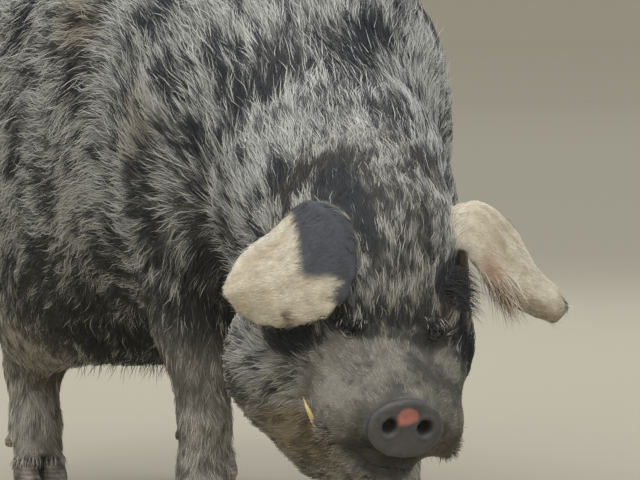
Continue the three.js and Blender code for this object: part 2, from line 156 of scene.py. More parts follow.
def soft_light(name, place, aim, size, power, colour):
    lamp = placed(name, bpy.data.lights.new(name, "AREA"))
    lamp.data.shape = "DISK"
    lamp.data.size = size
    lamp.data.energy = power
    lamp.data.color = colour
    lamp.location = place
    lamp.rotation_euler = (Vector(aim) - Vector(place)).to_track_quat("-Z", "Y").to_euler()


studio_floor()
for name, settings in LAMPS.items():
    soft_light(name, *settings)
world = bpy.data.worlds.new("studio")
world.use_nodes = True
sky = world.node_tree.nodes["Background"]
sky.inputs["Color"].default_value = SKY_COLOUR
sky.inputs["Strength"].default_value = SKY_STRENGTH
bpy.context.scene.world = world
bpy.context.scene.view_settings.view_transform = "Standard"
print("camera", [round(c, 2) for c in camera.location], "and two lamps")

# %% [markdown]
# ## The head's own frame
# Much of the detail is on the head, which is carried low and turned a little. Features are placed in
# a frame of its own, in millimetres: the origin on the nose, X to the animal's left, Y back along the
# snout and Z up to the forehead.

# %% Head frame
YAW, PITCH, ROLL = (math.radians(degrees) for degrees in (-4, 18, 9))
TIP_FROM_MIDDLE = Vector((0.0025, -0.0081, -0.0028))  # the disc's front face from its box's middle
NOSE = np.array(nose_middle + TIP_FROM_MIDDLE)
HEAD_TURN = np.array(
    Matrix.Rotation(YAW, 3, "Z") @ Matrix.Rotation(PITCH, 3, "X") @ Matrix.Rotation(ROLL, 3, "Y")
)


def in_head(points):
    return (points - NOSE) @ HEAD_TURN / MM


def out_of_head(points):
    return np.asarray(points, float) * MM @ HEAD_TURN.T + NOSE


# %% [markdown]
# ## One skin
# The flesh is thirteen solids with hairline gaps between them. Copies of them are joined and wrapped
# in one closed surface by a voxel remesh, which bridges the gaps, so that no seam can show. The eyeballs
# are wrapped too, so that the skin has something to make eyelids from. The ears' edges are thinner
# than a voxel, so the ears are swollen by a Displace modifier first and sink back with the coat's depth.

# %% Wrapping the flesh
LEGS = ["foreleg_left", "foreleg_right", "hindleg_left", "hindleg_right"]
EARS = ["ear_left", "ear_right"]
FLESH = ["trunk", "neck", "head", "snout", "lower_jaw", "nose_disc", "tail", *EARS, *LEGS]
EYES = ["eye_left", "eye_right"]
WRAPPED = FLESH + EYES
VOXEL = 3.2 * MM
WEIGHT_STEPS = 40
EAR_SWELL = 1.9 * MM


def joined_copy(names, meshes=()):
    """One mesh with copies of the named nodes and any other meshes, their loose corners merged."""
    joined = bmesh.new()
    for mesh in [*(nodes[name].data for name in names), *meshes]:
        joined.from_mesh(mesh)
    bmesh.ops.remove_doubles(joined, verts=joined.verts, dist=0.02 * MM)
    mesh = bpy.data.meshes.new("joined")
    joined.to_mesh(mesh)
    joined.free()
    return mesh


def modified(mesh, kind, weights=None, **settings):
    """The mesh after one modifier, with an optional weight for each vertex."""
    thing = placed("work", mesh)
    modifier = thing.modifiers.new("work", kind)
    if weights is not None:
        group = thing.vertex_groups.new(name="share")
        steps = np.round(weights * WEIGHT_STEPS).astype(int)
        for step in np.unique(steps):
            group.add(np.flatnonzero(steps == step).tolist(), step / WEIGHT_STEPS, "REPLACE")
        modifier.vertex_group = "share"
    for key, value in settings.items():
        setattr(modifier, key, value)
    evaluated = thing.evaluated_get(bpy.context.evaluated_depsgraph_get())
    made = bpy.data.meshes.new_from_object(evaluated)
    bpy.data.objects.remove(thing)
    return made


thick_ears = modified(joined_copy(EARS), "DISPLACE", strength=EAR_SWELL, mid_level=0)
whole = joined_copy([name for name in WRAPPED if name not in EARS], [thick_ears])
skin_mesh = modified(whole, "REMESH", mode="VOXEL", voxel_size=VOXEL)
print("the wrapped skin has", len(skin_mesh.vertices), "vertices")

# %% [markdown]
# ## Which part of the body a point belongs to
# Hair length, lie and colour change from part to part. Each point of the skin takes the CAD part
# nearest to it, and these 0-or-1 shares are then spread along the surface, so that one kind of coat
# runs into the next over some centimetres, as on the animal.


# %% Parts of the body
def read(items, key, size, kind=np.float32):
    """One value of all the items of a mesh, size numbers each."""
    flat = np.empty(len(items) * size, kind)
    items.foreach_get(key, flat)
    return flat.reshape(-1, size)


def points_of(mesh):
    return read(mesh.vertices, "co", 3).astype(float)


def edges_of(mesh):
    return read(mesh.edges, "vertices", 2, np.int32)


def normals_of(mesh):
    return read(mesh.vertex_normals, "vector", 3).astype(float)


def set_points(mesh, points):
    mesh.vertices.foreach_set("co", np.asarray(points, np.float32).ravel())
    mesh.update()


def nearest_part(points, names):
    vertices, faces, owners = [], [], []
    for index, name in enumerate(names):
        mesh = nodes[name].data
        start = len(vertices)
        vertices.extend(v.co for v in mesh.vertices)
        faces.extend([start + i for i in p.vertices] for p in mesh.polygons)
        owners.extend([index] * len(mesh.polygons))
    tree = BVHTree.FromPolygons(vertices, faces)
    return np.array([owners[tree.find_nearest(Vector(p))[2]] for p in points])


def spread(values, edges, rounds, share=0.5):
    """Averages values with their neighbours along the surface, as often as rounds says."""
    a, b = edges[:, 0], edges[:, 1]
    valence = np.maximum(np.bincount(np.r_[a, b], minlength=len(values)), 1)
    columns = values.reshape(len(values), -1).copy()
    for _ in range(rounds):
        for c in range(columns.shape[1]):
            column = columns[:, c]
            total = np.bincount(a, column[b], len(column)) + np.bincount(b, column[a], len(column))
            columns[:, c] = column + share * (total / valence - column)
    return columns.reshape(values.shape)


part = nearest_part(points_of(skin_mesh), WRAPPED)
print("points on", dict(zip(WRAPPED, np.bincount(part, minlength=len(WRAPPED)).tolist())))

# %% [markdown]
# ## From the tips of the coat down to the skin
# The wrapped surface still has the flats of the solids and lies at the tips of the hair. A Smooth
# modifier melts the flats, strongly on the trunk and hardly at all on the face. Thin parts would shrink, so
# they get back most of what they lost, evened out. Then each point moves inwards by the depth that
# the coat has there. Next to horn, tusk and eye it stays where it is, so that no gap opens. Last, a
# Decimate modifier thins the broad plain flanks and leaves the head fine.

# %% Smoothing, sinking and thinning
# Smoothing rounds, share given back, depth of the coat and length of the edges in millimetres.
SURFACE = {
    "trunk": (160, 0.0, 8.5, 9.0),
    "neck": (140, 0.0, 7.5, 8.0),
    "head": (26, 0.4, 3.2, 4.0),
    "snout": (12, 0.5, 1.6, 3.2),
    "lower_jaw": (16, 0.4, 2.6, 3.6),
    "nose_disc": (3, 1.0, 0.0, 3.2),
    "tail": (12, 0.7, 2.5, 5.0),
    **dict.fromkeys(EARS, (7, 1.0, 1.5, 3.4)),
    **dict.fromkeys(LEGS[:2], (20, 0.3, 2.4, 5.5)),
    **dict.fromkeys(LEGS[2:], (24, 0.3, 2.4, 5.5)),
    **dict.fromkeys(EYES, (0, 0.0, 0.0, 3.2)),
}
MOST_ROUNDS = 160
SKIN_TRIANGLES = 135000
SHORTEST_EDGE = 1.6
HORN = [n for n in nodes if n.startswith(("claw", "dewclaw", "tusk", "eye"))]
HORN_REACH, HORN_FADE = 14 * MM, 12 * MM  # how far from horn, tusk and eye the skin is held
LEG_TOP = (0.19, 0.29)  # heights between which a leg's own skin becomes that of the trunk


def smooth_step(x, low, high):
    t = np.clip((x - low) / (high - low), 0, 1)
    return t * t * (3 - 2 * t)


def distance_to(points, names, reach):
    """Distance in metres to the nearest of the named CAD nodes, no further than reach."""
    found = np.full(len(points), reach)
    for name in names:
        low, high = (np.array(corner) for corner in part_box(name))
        near = np.all((points > low - reach) & (points < high + reach), axis=1)
        mesh = nodes[name].data
        tree = BVHTree.FromPolygons([v.co for v in mesh.vertices], [p.vertices for p in mesh.polygons])
        for i in np.flatnonzero(near):
            found[i] = min(found[i], tree.find_nearest(Vector(points[i]))[3])
    return found


points = points_of(skin_mesh)
edges = edges_of(skin_mesh)
surface = np.array([SURFACE[name] for name in WRAPPED])
upper_leg = np.isin(part, [WRAPPED.index(n) for n in LEGS]) * smooth_step(points[:, 2], *LEG_TOP)
surface = surface[part]
surface += upper_leg[:, None] * (np.array(SURFACE["trunk"]) - surface)
rounds, given_back, depth, edge_length = spread(surface, edges, 20).T
free = np.clip(distance_to(points, HORN, HORN_REACH) / HORN_FADE, 0, 1)
skin_mesh = modified(skin_mesh, "SMOOTH", rounds * free / MOST_ROUNDS, factor=0.5, iterations=MOST_ROUNDS)
smoothed = points_of(skin_mesh)
smoothed += spread(points - smoothed, edges, 8) * (given_back * free)[:, None]
set_points(skin_mesh, smoothed)
set_points(skin_mesh, smoothed - normals_of(skin_mesh) * (depth * free * MM)[:, None])
ratio = SKIN_TRIANGLES / (2 * len(skin_mesh.polygons))
# The modifier prices an edge at its length times one minus the weight, so this sets the length at
# which edges of each part are collapsed.
weights = 1 - SHORTEST_EDGE / edge_length
skin_mesh = modified(skin_mesh, "DECIMATE", weights, ratio=ratio, use_collapse_triangulate=True)
print("the sunken skin has", len(skin_mesh.polygons), "faces")

# %% [markdown]
# ## A finer mesh where the small forms are
# Eyelids, nostrils and the line of the mouth are smaller than the mesh can carry. Edges there are
# halved, once round the nose and mouth and twice round the eyes, which is far cheaper than a fine
# mesh all over.

# %% Local refinement
EYE_RADIUS = 11.5
EYE_PLACES = {name: np.array(sum(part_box(name), Vector()) / 2) for name in EYES}


def near_eyes(points, reach):
    return np.any([np.linalg.norm(points - c, axis=1) < reach * MM for c in EYE_PLACES.values()], axis=0)


def near_mouth(points):
    x, y, z = in_head(points).T
    on_disc = (y < 26) & (np.abs(x + 3) < 54) & (np.abs(z) < 46)
    on_lips = (y < 96) & (z < -22) & (z > -66)
    return on_disc | on_lips


def refined(mesh, chosen):
    """The mesh with each edge halved whose two ends are both chosen."""
    made = bmesh.new()
    made.from_mesh(mesh)
    edges = [e for e in made.edges if chosen[e.verts[0].index] and chosen[e.verts[1].index]]
    bmesh.ops.subdivide_edges(made, edges=edges, cuts=1, use_grid_fill=True)
    bmesh.ops.triangulate(made, faces=[f for f in made.faces if len(f.verts) > 3])
    made.to_mesh(mesh)
    made.free()


ONCE_HALVED, TWICE_HALVED = 25, 19  # reach round the eyes, in millimetres
refined(skin_mesh, near_mouth(points_of(skin_mesh)) | near_eyes(points_of(skin_mesh), ONCE_HALVED))
refined(skin_mesh, near_eyes(points_of(skin_mesh), TWICE_HALVED))
print("the refined skin has", len(skin_mesh.polygons), "faces")

# %% [markdown]
# ## Shares of each part, on the finer mesh
# The points have changed, so the shares of each part are worked out once more. One more share
# says how near a point is to a thin rim, such as an ear's, where the normals of both sides meet.

# %% Shares of each part
GROUPS = {
    "trunk": ["trunk"],
    "neck": ["neck"],
    "head": ["head", *EYES],
    "snout": ["snout"],
    "jaw": ["lower_jaw"],
    "disc": ["nose_disc"],
    "tail": ["tail"],
    "ear_left": ["ear_left"],
    "ear_right": ["ear_right"],
    "leg": LEGS,
}
GROUP_OF = {name: g for g, names in enumerate(GROUPS.values()) for name in names}
G = {name: g for g, name in enumerate([*GROUPS, "rim"])}


def skin_shares(mesh):
    part = nearest_part(points_of(mesh), WRAPPED)
    group = np.array([GROUP_OF[name] for name in WRAPPED])[part]
    shares = (group[:, None] == np.arange(len(GROUPS))).astype(float)
    soft = spread(shares, edges_of(mesh), 8)
    soft /= soft.sum(1, keepdims=True)
    even = np.linalg.norm(spread(normals_of(mesh), edges_of(mesh), 6), axis=1)
    rim = smooth_step(1 - even, 0.25, 0.60) * (soft[:, G["ear_left"]] + soft[:, G["ear_right"]])
    return np.c_[soft, rim]


shares = skin_shares(skin_mesh)
print("shares of", list(G), np.round(shares.mean(0), 3))

# %% [markdown]
# ## Soft noise
# Nature's small irregularities come from a sum of waves that run in all directions. It is cheap for
# many points at once and the same each time, because its directions come from a fixed seed.


# %% Waves, patches and distances
def waves(points, size, seed, count=9):
    """Soft noise of about -1 to 1 whose features are size metres across."""
    draw = np.random.default_rng(seed)
    directions = draw.normal(size=(count, 3))
    directions /= np.linalg.norm(directions, axis=1, keepdims=True)
    rates = math.tau / size * draw.uniform(0.35, 0.75, count)
    phases = draw.uniform(0, math.tau, count)
    return np.sin(points @ (directions * rates[:, None]).T + phases).sum(1) / math.sqrt(count)


def patch(points, centre, radius, soft=0.35, rough=0.3, seed=5):
    """1 inside a round patch and 0 outside, with a wandering soft edge. Radius may be three half-axes."""
    off = (points - np.array(centre)) / np.array(radius)
    reach = np.linalg.norm(off, axis=1) + rough * waves(points, np.mean(radius) * 1.1, seed)
    return 1 - smooth_step(reach, 1 - soft, 1 + soft)


def bell(distance, width):
    return np.exp(-((distance / width) ** 2))


def unit(vectors):
    return vectors / np.maximum(np.linalg.norm(vectors, axis=-1, keepdims=True), 1e-9)


def beside(points, path):
    """Distance in metres from a bent line that is drawn on the side view, as (y, z) points."""
    found = np.full(len(points), 9.0)
    flat = points[:, 1:]
    for start, end in zip(np.array(path), np.array(path[1:])):
        run = end - start
        t = np.clip((flat - start) @ run / (run @ run), 0, 1)
        found = np.minimum(found, np.linalg.norm(flat - start - t[:, None] * run, axis=1))
    return found


# %% [markdown]
# ## Folds of the body
# A fat pig's skin hangs in folds: one where the neck meets the shoulder, one behind the shoulder
# blade and one before the thigh. Each is a line on the side view. The skin sinks along the line and
# swells a little before it.

# %% Folds of the body
FOLDS = {
    "neck": [(-0.345, 0.53), (-0.30, 0.485), (-0.262, 0.45), (-0.236, 0.40), (-0.228, 0.35), (-0.24, 0.30)],
    "shoulder": [(-0.12, 0.57), (-0.085, 0.51), (-0.052, 0.45), (-0.022, 0.38), (-0.015, 0.31)],
    "thigh": [(0.30, 0.47), (0.262, 0.40), (0.235, 0.33), (0.225, 0.27)],
}
FOLD_WIDTH, FOLD_DEPTH = 11 * MM, 8.5 * MM
SWELL_SHARE, SWELL_AHEAD = 0.5, np.array((0, 0.020, 0))


def fold_height(points, normals, shares):
    """How far the folds lift (+) or sink (-) the skin, in metres."""
    flank = smooth_step(np.abs(normals[:, 0]), 0.25, 0.6) * shares[:, [G["trunk"], G["neck"]]].sum(1)
    height = np.zeros(len(points))
    for path in FOLDS.values():
        height += SWELL_SHARE * bell(beside(points + SWELL_AHEAD, path), 1.3 * FOLD_WIDTH)
        height -= bell(beside(points, path), FOLD_WIDTH)
    return height * flank * FOLD_DEPTH


points, normals = points_of(skin_mesh), normals_of(skin_mesh)
lift = fold_height(points, normals, shares)
set_points(skin_mesh, points + normals * lift[:, None])
print("the folds sink up to", round(-lift.min() / MM, 1), "mm")

# %% [markdown]
# ## Nose and mouth
# The disc is bare wet skin with a rim and two nostrils. The mouth is a line that runs back under the
# muzzle, with a small notch in front, and the lip bulges over the root of each tusk. Behind the disc the
# snout wrinkles, because the animal digs with it. All of these are heights added to the skin along its
# normals, in the head's frame.

# %% Nose and mouth
DISC_ROLL = math.radians(-5)
DISC_OFFSET = -3
NOSTRIL_PLACES = (-20, 20)
NOSTRIL_HEIGHT = 3
NOSTRIL_SIZE = np.array((8.0, 9.0))
NOSTRIL_DEPTH, NOSTRIL_RIM = 9, 1.2
DISC_GROOVE, MOUTH_DEPTH = 1.8, 3.0
NOTCH_PLACE, NOTCH_DEPTH, NOTCH_WIDTH = (2, 12, -39), 4, 7
WRINKLE_HEIGHT, WRINKLE_PITCH = 0.5, 11
# Forms on both sides of the face: middle and half-axes, then height.
SIDE_FORMS = {
    "lip over the tusk's root": ((68, 50, -34), (17, 17, 12), 8),
    "hollow before the jowl": ((100, 120, -10), (30, 18, 50), -2.5),
}


def on_pad(head):
    """Places on the nose disc, across and up, in millimetres from its middle."""
    x, z = head[:, 0] - DISC_OFFSET, head[:, 2]
    c, s = math.cos(DISC_ROLL), math.sin(DISC_ROLL)
    return np.stack([c * x - s * z, s * x + c * z], axis=1)


def nostril_reach(head):
    """Distance from the nearer nostril's middle, where 1 is its edge."""
    off = [(on_pad(head) - (side, NOSTRIL_HEIGHT)) / NOSTRIL_SIZE for side in NOSTRIL_PLACES]
    return np.min([np.linalg.norm(o, axis=1) for o in off], axis=0)


def face_height(points, shares):
    """Height of the small forms of nose and mouth over the skin, in millimetres."""
    head = in_head(points)
    y, z = head[:, 1], head[:, 2]
    disc, snout, jaw, skull = (shares[:, G[name]] for name in ("disc", "snout", "jaw", "head"))
    front = 1 - smooth_step(y, 10, 16)
    mouth = bell(jaw - snout - skull, 0.30) * (jaw + snout + skull) * (1 - smooth_step(y, 95, 130))
    height = -DISC_GROOVE * bell(disc - snout, 0.30) * (disc + snout)
    height += NOSTRIL_RIM * bell(nostril_reach(head) - 1.45, 0.25) * disc * front
    height -= MOUTH_DEPTH * mouth
    height -= NOTCH_DEPTH * bell(np.linalg.norm(head - np.array(NOTCH_PLACE), axis=1), NOTCH_WIDTH)
    wrinkled = snout * smooth_step(z, -10, 25) * bell(y - 48, 30)
    ripples = np.sin(math.tau * y / WRINKLE_PITCH + 3.0 * waves(points, 0.05, 61))
    height += WRINKLE_HEIGHT * wrinkled * ripples
    for side in (-1, 1):
        for middle, radius, raised in SIDE_FORMS.values():
            off = (head - np.array(middle) * (side, 1, 1)) / radius
            height += raised * bell(np.linalg.norm(off, axis=1), 1)
    return height


points, normals = points_of(skin_mesh), normals_of(skin_mesh)
points += normals * face_height(points, shares)[:, None] * MM
head = in_head(points)
pit = (1 - smooth_step(nostril_reach(head), 0.65, 1.1)) * (head[:, 1] < 22) * (shares[:, G["disc"]] > 0.5)
points += HEAD_TURN[:, 1] * (pit * NOSTRIL_DEPTH * MM)[:, None]
set_points(skin_mesh, points)
print(int((pit > 0.5).sum()), "points lie in the nostrils")

# %% [markdown]
# ## Eyelids
# A pig's eyes are small and deep, with thick lids that leave an almond slit. Round each eyeball
# the skin is moved along lines from the eyeball's middle: out to a lid's thickness, or down behind
# the ball's surface inside the slit. A brow bulges above.

# %% Eyelids
SLIT_LENGTH, SLIT_HEIGHT = 8.8, 4.4
LID, LID_RIM, CREASE = 1.2, 0.9, 0.9
LIDS_END = (15, 23)  # distances from the eyeball's middle between which the lids fade out
BALL_GAP = 2.5  # how far the skin lies behind the ball's surface in the slit
BROW_RISE, BROW_PLACE = 3.0, 15


def eye_axes(name, points, normals):
    """Middle of an eyeball and the directions ahead, up and across, from the skin around it."""
    centre = EYE_PLACES[name]
    near = np.linalg.norm(points - centre, axis=1) < 22 * MM
    ahead = unit(normals[near].mean(0))
    upward = unit(HEAD_TURN[:, 2] - ahead * (HEAD_TURN[:, 2] @ ahead))
    return centre, ahead, upward, np.cross(upward, ahead)


def seen_from(axes, points):
    """Places across, above and ahead of an eyeball's middle, in millimetres."""
    centre, ahead, upward, across = axes
    off = (points - centre) / MM
    return off @ across, off @ upward, off @ ahead


def with_eyelids(points, axes):
    side, high, out = seen_from(axes, points)
    reach = np.sqrt(side**2 + high**2 + out**2)
    slit = SLIT_HEIGHT * np.sqrt(np.clip(1 - (side / SLIT_LENGTH) ** 2, 0, 1))
    beyond = np.abs(high) - slit
    opening = (1 - smooth_step(beyond, -0.7, 0.4)) * (np.abs(side) < SLIT_LENGTH) * (out > 0)
    rim = LID_RIM * bell(beyond - 1.2, 0.9)
    rim -= CREASE * bell(high - SLIT_HEIGHT - 3.4, 1.1) * bell(side, 9)
    lid = np.maximum(reach, EYE_RADIUS + LID) + rim
    wanted = lid + (EYE_RADIUS - BALL_GAP - lid) * opening
    near = (1 - smooth_step(reach, *LIDS_END)) * (out > -3)
    moved = reach + (wanted - reach) * near
    brow = BROW_RISE * bell(high - BROW_PLACE, 5.5) * bell(side, 15) * (out > -8) * (reach < 40)
    points = axes[0] + (points - axes[0]) * (moved / np.maximum(reach, 0.1))[:, None]
    return points + axes[1] * (brow * MM)[:, None]


points, normals = points_of(skin_mesh), normals_of(skin_mesh)
eye_frames = {name: eye_axes(name, points, normals) for name in EYES}
for axes in eye_frames.values():
    points = with_eyelids(points, axes)
set_points(skin_mesh, points)
print("eyes look", {name: np.round(axes[1], 2).tolist() for name, axes in eye_frames.items()})

# %% [markdown]
# ## The markings
# A roan coat is a mixture of silver and charcoal hairs, and its pattern is how much silver there is
# at each place. Each place therefore has two colours and the share of the lighter one. The same function
# paints the skin and chooses the colour of each tuft at its root, so the two always agree.

# %% Markings of the body
SILVER = np.array((0.585, 0.59, 0.56))
CHARCOAL = np.array((0.042, 0.043, 0.046))
BLUE_BLACK = np.array((0.030, 0.034, 0.040))
BROWN = (np.array((0.38, 0.34, 0.26)), np.array((0.065, 0.056, 0.042)))
# Dark blotches: middle in metres, half-axes in metres, strength. The animal's right side, then its left.
BLOTCHES = [
    ((-0.121, -0.252, 0.578), 0.034, 0.95),
    ((-0.120, -0.308, 0.534), 0.027, 0.9),
    ((-0.155, -0.110, 0.628), 0.036, 0.85),
    ((-0.207, 0.035, 0.560), (0.05, 0.028, 0.042), 0.75),
    ((-0.166, -0.172, 0.540), (0.05, 0.028, 0.030), 0.8),
    ((-0.156, -0.226, 0.474), (0.05, 0.026, 0.024), 0.7),
    ((-0.180, -0.120, 0.415), (0.05, 0.045, 0.045), 0.6),
    ((-0.180, 0.020, 0.345), (0.06, 0.055, 0.040), 0.55),
    ((-0.210, 0.246, 0.622), (0.05, 0.045, 0.035), 0.75),
    ((-0.220, 0.250, 0.485), (0.05, 0.030, 0.050), 0.65),
    ((-0.215, 0.146, 0.425), (0.06, 0.040, 0.050), 0.45),
    ((0.050, -0.291, 0.612), (0.034, 0.045, 0.034), 0.95),
    ((0.018, -0.340, 0.578), (0.030, 0.032, 0.034), 0.9),
    ((-0.133, -0.468, 0.440), (0.034, 0.030, 0.024), 1.0),
    ((-0.096, -0.520, 0.458), (0.030, 0.030, 0.030), 0.85),
    ((-0.100, -0.578, 0.415), (0.030, 0.030, 0.028), 0.9),
    ((0.028, -0.495, 0.460), (0.024, 0.032, 0.034), 0.85),
    ((0.150, -0.160, 0.600), (0.05, 0.040, 0.040), 0.8),
    ((0.190, 0.060, 0.520), (0.05, 0.050, 0.045), 0.75),
    ((0.170, -0.080, 0.440), (0.06, 0.032, 0.050), 0.6),
    ((0.215, 0.240, 0.560), (0.05, 0.035, 0.045), 0.8),
    ((0.020, 0.420, 0.720), (0.060, 0.050, 0.050), 0.7),
    ((-0.030, 0.060, 0.770), (0.050, 0.060, 0.040), 0.6),
]
BROWN_PATCHES = [((-0.182, -0.115, 0.490), (0.05, 0.050, 0.040)), ((-0.190, 0.050, 0.620), 0.05)]
LEG_COLOURS = (np.array((0.64, 0.61, 0.54)), np.array((0.16, 0.15, 0.127)))
FRINGE_AHEAD = np.array((0, 0.016, 0))  # the hair before a fold stands up and catches the light


def mixed(a, b, share):
    return a + (b - a) * share[:, None]


def tinted(coat, where, pair, light_share=None):
    """Light, dark and share, drawn towards a pair of colours and a share where the mask says."""
    light, dark, share = coat
    if light_share is not None:
        share = share + (light_share - share) * where
    return mixed(light, pair[0], where), mixed(dark, pair[1], where), share


def lighter(coat, change):
    light, dark, share = coat
    return light, dark, share + change


def blotched(coat, where):
    light, dark, share = coat
    return light, mixed(dark, BLUE_BLACK, where), share - share * where * 0.92


def body_colours(points, shares):
    """Light and dark hair colours and the share of light hair, on trunk, neck, legs and tail."""
    count = len(points)
    across, along, high = points.T
    trunk, neck, leg = (shares[:, G[name]] for name in ("trunk", "neck", "leg"))
    share = 0.54 + 0.17 * waves(points, 0.13, 1) + 0.12 * waves(points, 0.035, 2)
    # Painted light from above: the top of the back is given more light hair.
    share += 0.14 * trunk * smooth_step(high, 0.56, 0.68)
    # Painted shade and light of small folds: vertical bands of less and more light hair on the trunk from
    # the shoulder back.
    ripple_shade = np.sin(math.tau * along / 0.026 + 2.2 * waves(points, 0.14, 3))
    share += 0.20 * ripple_shade * trunk * smooth_step(along, -0.14, 0.02)
    # The belly is darker, with darker dark hair: partly black hair and partly painted shade under the body.
    belly = (1 - smooth_step(high, 0.24, 0.42)) * (trunk + neck)
    nape = neck * smooth_step(across, -0.13, -0.05) * (1 - smooth_step(across, 0.01, 0.06))
    share -= 0.42 * belly + 0.30 * nape * (1 - smooth_step(high, 0.54, 0.61))
    # Painted highlight on the hair just before the neck and shoulder folds, and painted shade along the
    # folds themselves.
    for name in ("neck", "shoulder"):
        fringe = bell(beside(points + FRINGE_AHEAD, FOLDS[name]), 0.013)
        share += 0.45 * (fringe - bell(beside(points, FOLDS[name]), 0.014)) * (trunk + neck)
    dark = mixed(np.tile(CHARCOAL, (count, 1)), BLUE_BLACK * 0.75, belly)
    coat = (np.tile(SILVER, (count, 1)), dark, share)
    for centre, radius in BROWN_PATCHES:
        coat = tinted(coat, 0.8 * patch(points, centre, radius, soft=0.6), BROWN)
    for number, (centre, radius, strength) in enumerate(BLOTCHES):
        coat = blotched(coat, strength * patch(points, centre, radius, seed=70 + number % 5))
    on_leg = np.clip(leg * 1.3, 0, 1) * (1 - smooth_step(high, 0.20, 0.34))
    return tinted(coat, on_leg, LEG_COLOURS)


# %% [markdown]
# ## Markings of the head
# The head is the most varied part: a grey forehead, a near-black band at the root of each ear, cream
# ears with a dark patch and a white rim, a brownish jaw round the tusks, a pale pepper-and-salt muzzle,
# and a charcoal disc with a pink patch between the nostrils.

# %% Markings of the head
# Dark patches in the head's frame: middle and half-axes in millimetres, strength.
HEAD_BLOTCHES = [
    # The first two lie round the eyes, under the ears: partly dark hair and partly painted shade.
    ((-108, 122, 42), (38, 30, 24), 1.0),
    ((104, 118, 34), (30, 30, 30), 0.9),
    ((-66, 200, 194), (24, 48, 38), 0.9),
    ((-50, 150, 168), (17, 44, 34), 0.9),
    ((60, 117, 134), (32, 24, 26), 1.0),
    ((80, 130, 118), (22, 24, 22), 0.95),
    ((80, 96, 62), (16, 20, 32), 0.8),
    # A band across the brow, in the crease above the muzzle: partly dark hair and partly painted shade.
    ((-22, 92, 80), (88, 20, 15), 0.7),
    ((-124, 170, -20), (24, 30, 30), 0.5),
]
# Patches with more light hair, in the same way.
PALE_PATCHES = [
    ((-6, 70, 60), (50, 34, 26), 0.28),
    ((-78, 60, 20), (26, 40, 34), 0.32),
]
EARS_RUN = {"ear_left": ((60, 190, 172), (204, 112, 106)), "ear_right": ((-60, 190, 140), (-206, 118, 85))}
CREAM = (np.array((0.86, 0.79, 0.64)), np.array((0.62, 0.52, 0.37)))
EAR_GREY = np.array((0.075, 0.080, 0.092))
WHITE = np.array((0.88, 0.87, 0.81))
PINK = np.array((0.46, 0.17, 0.145))
BARE_NOSE = np.array((0.066, 0.064, 0.064))
BROW = (np.array((0.47, 0.455, 0.40)), np.array((0.060, 0.056, 0.050)))
PEPPER = (np.array((0.38, 0.355, 0.30)), np.array((0.105, 0.098, 0.082)))
LIPS = (np.array((0.095, 0.092, 0.084)), np.array((0.048, 0.047, 0.045)))
RUST = (np.array((0.40, 0.33, 0.24)), np.array((0.155, 0.125, 0.088)))
EAR_BROWN = (np.array((0.60, 0.50, 0.37)), np.array((0.20, 0.145, 0.095)))
NICK_BROWN = np.array((0.16, 0.11, 0.07))


def face_colours(points, shares, coat):
    head = in_head(points)
    x, z = head[:, 0], head[:, 2]
    on_head = shares[:, [G[name] for name in ("head", "jaw", "snout", "disc")]].sum(1)
    streaks = np.sin(x / 4.2 + 2.5 * waves(points, 0.07, 12)) * smooth_step(z, 60, 110)
    coat = lighter(coat, on_head * (0.10 * streaks - 0.04))
    coat = tinted(coat, 0.8 * shares[:, G["head"]], BROW)
    muzzle = np.clip(shares[:, G["snout"]] + 0.6 * shares[:, G["jaw"]], 0, 1)
    coat = tinted(coat, muzzle, PEPPER)
    speckle = 0.22 * waves(points, 0.032, 31) + 0.16 * waves(points, 0.014, 32)
    coat = lighter(coat, muzzle * (speckle - 0.06))
    for seed, (centre, radius, strength) in enumerate(PALE_PATCHES, 14):
        coat = lighter(coat, strength * on_head * patch(head, centre, radius, soft=0.6, seed=seed))
    lips = on_head * patch(head, (-10, 14, -44), (60, 30, 25), seed=20)
    coat = tinted(coat, 0.9 * lips, LIPS)
    jowl = on_head * patch(head, (-132, 138, 4), (30, 34, 30), soft=0.5, seed=16)
    coat = tinted(coat, jowl, (SILVER, CHARCOAL * 2), 0.8)
    for side, strength in ((-1, 1.0), (1, 0.8)):
        brown = on_head * patch(head, (side * 82, 96, -62), (40, 44, 34), seed=8)
        coat = tinted(coat, strength * brown, RUST)
    for centre, radius, strength in HEAD_BLOTCHES:
        blotch = strength * patch(head, centre, radius, seed=7)
        coat = blotched(coat, blotch * (on_head + shares[:, G["neck"]]))
    blush = on_head * patch(head, (52, 94, 100), (14, 14, 12), seed=17)
    return tinted(coat, 0.6 * blush, BROWN)


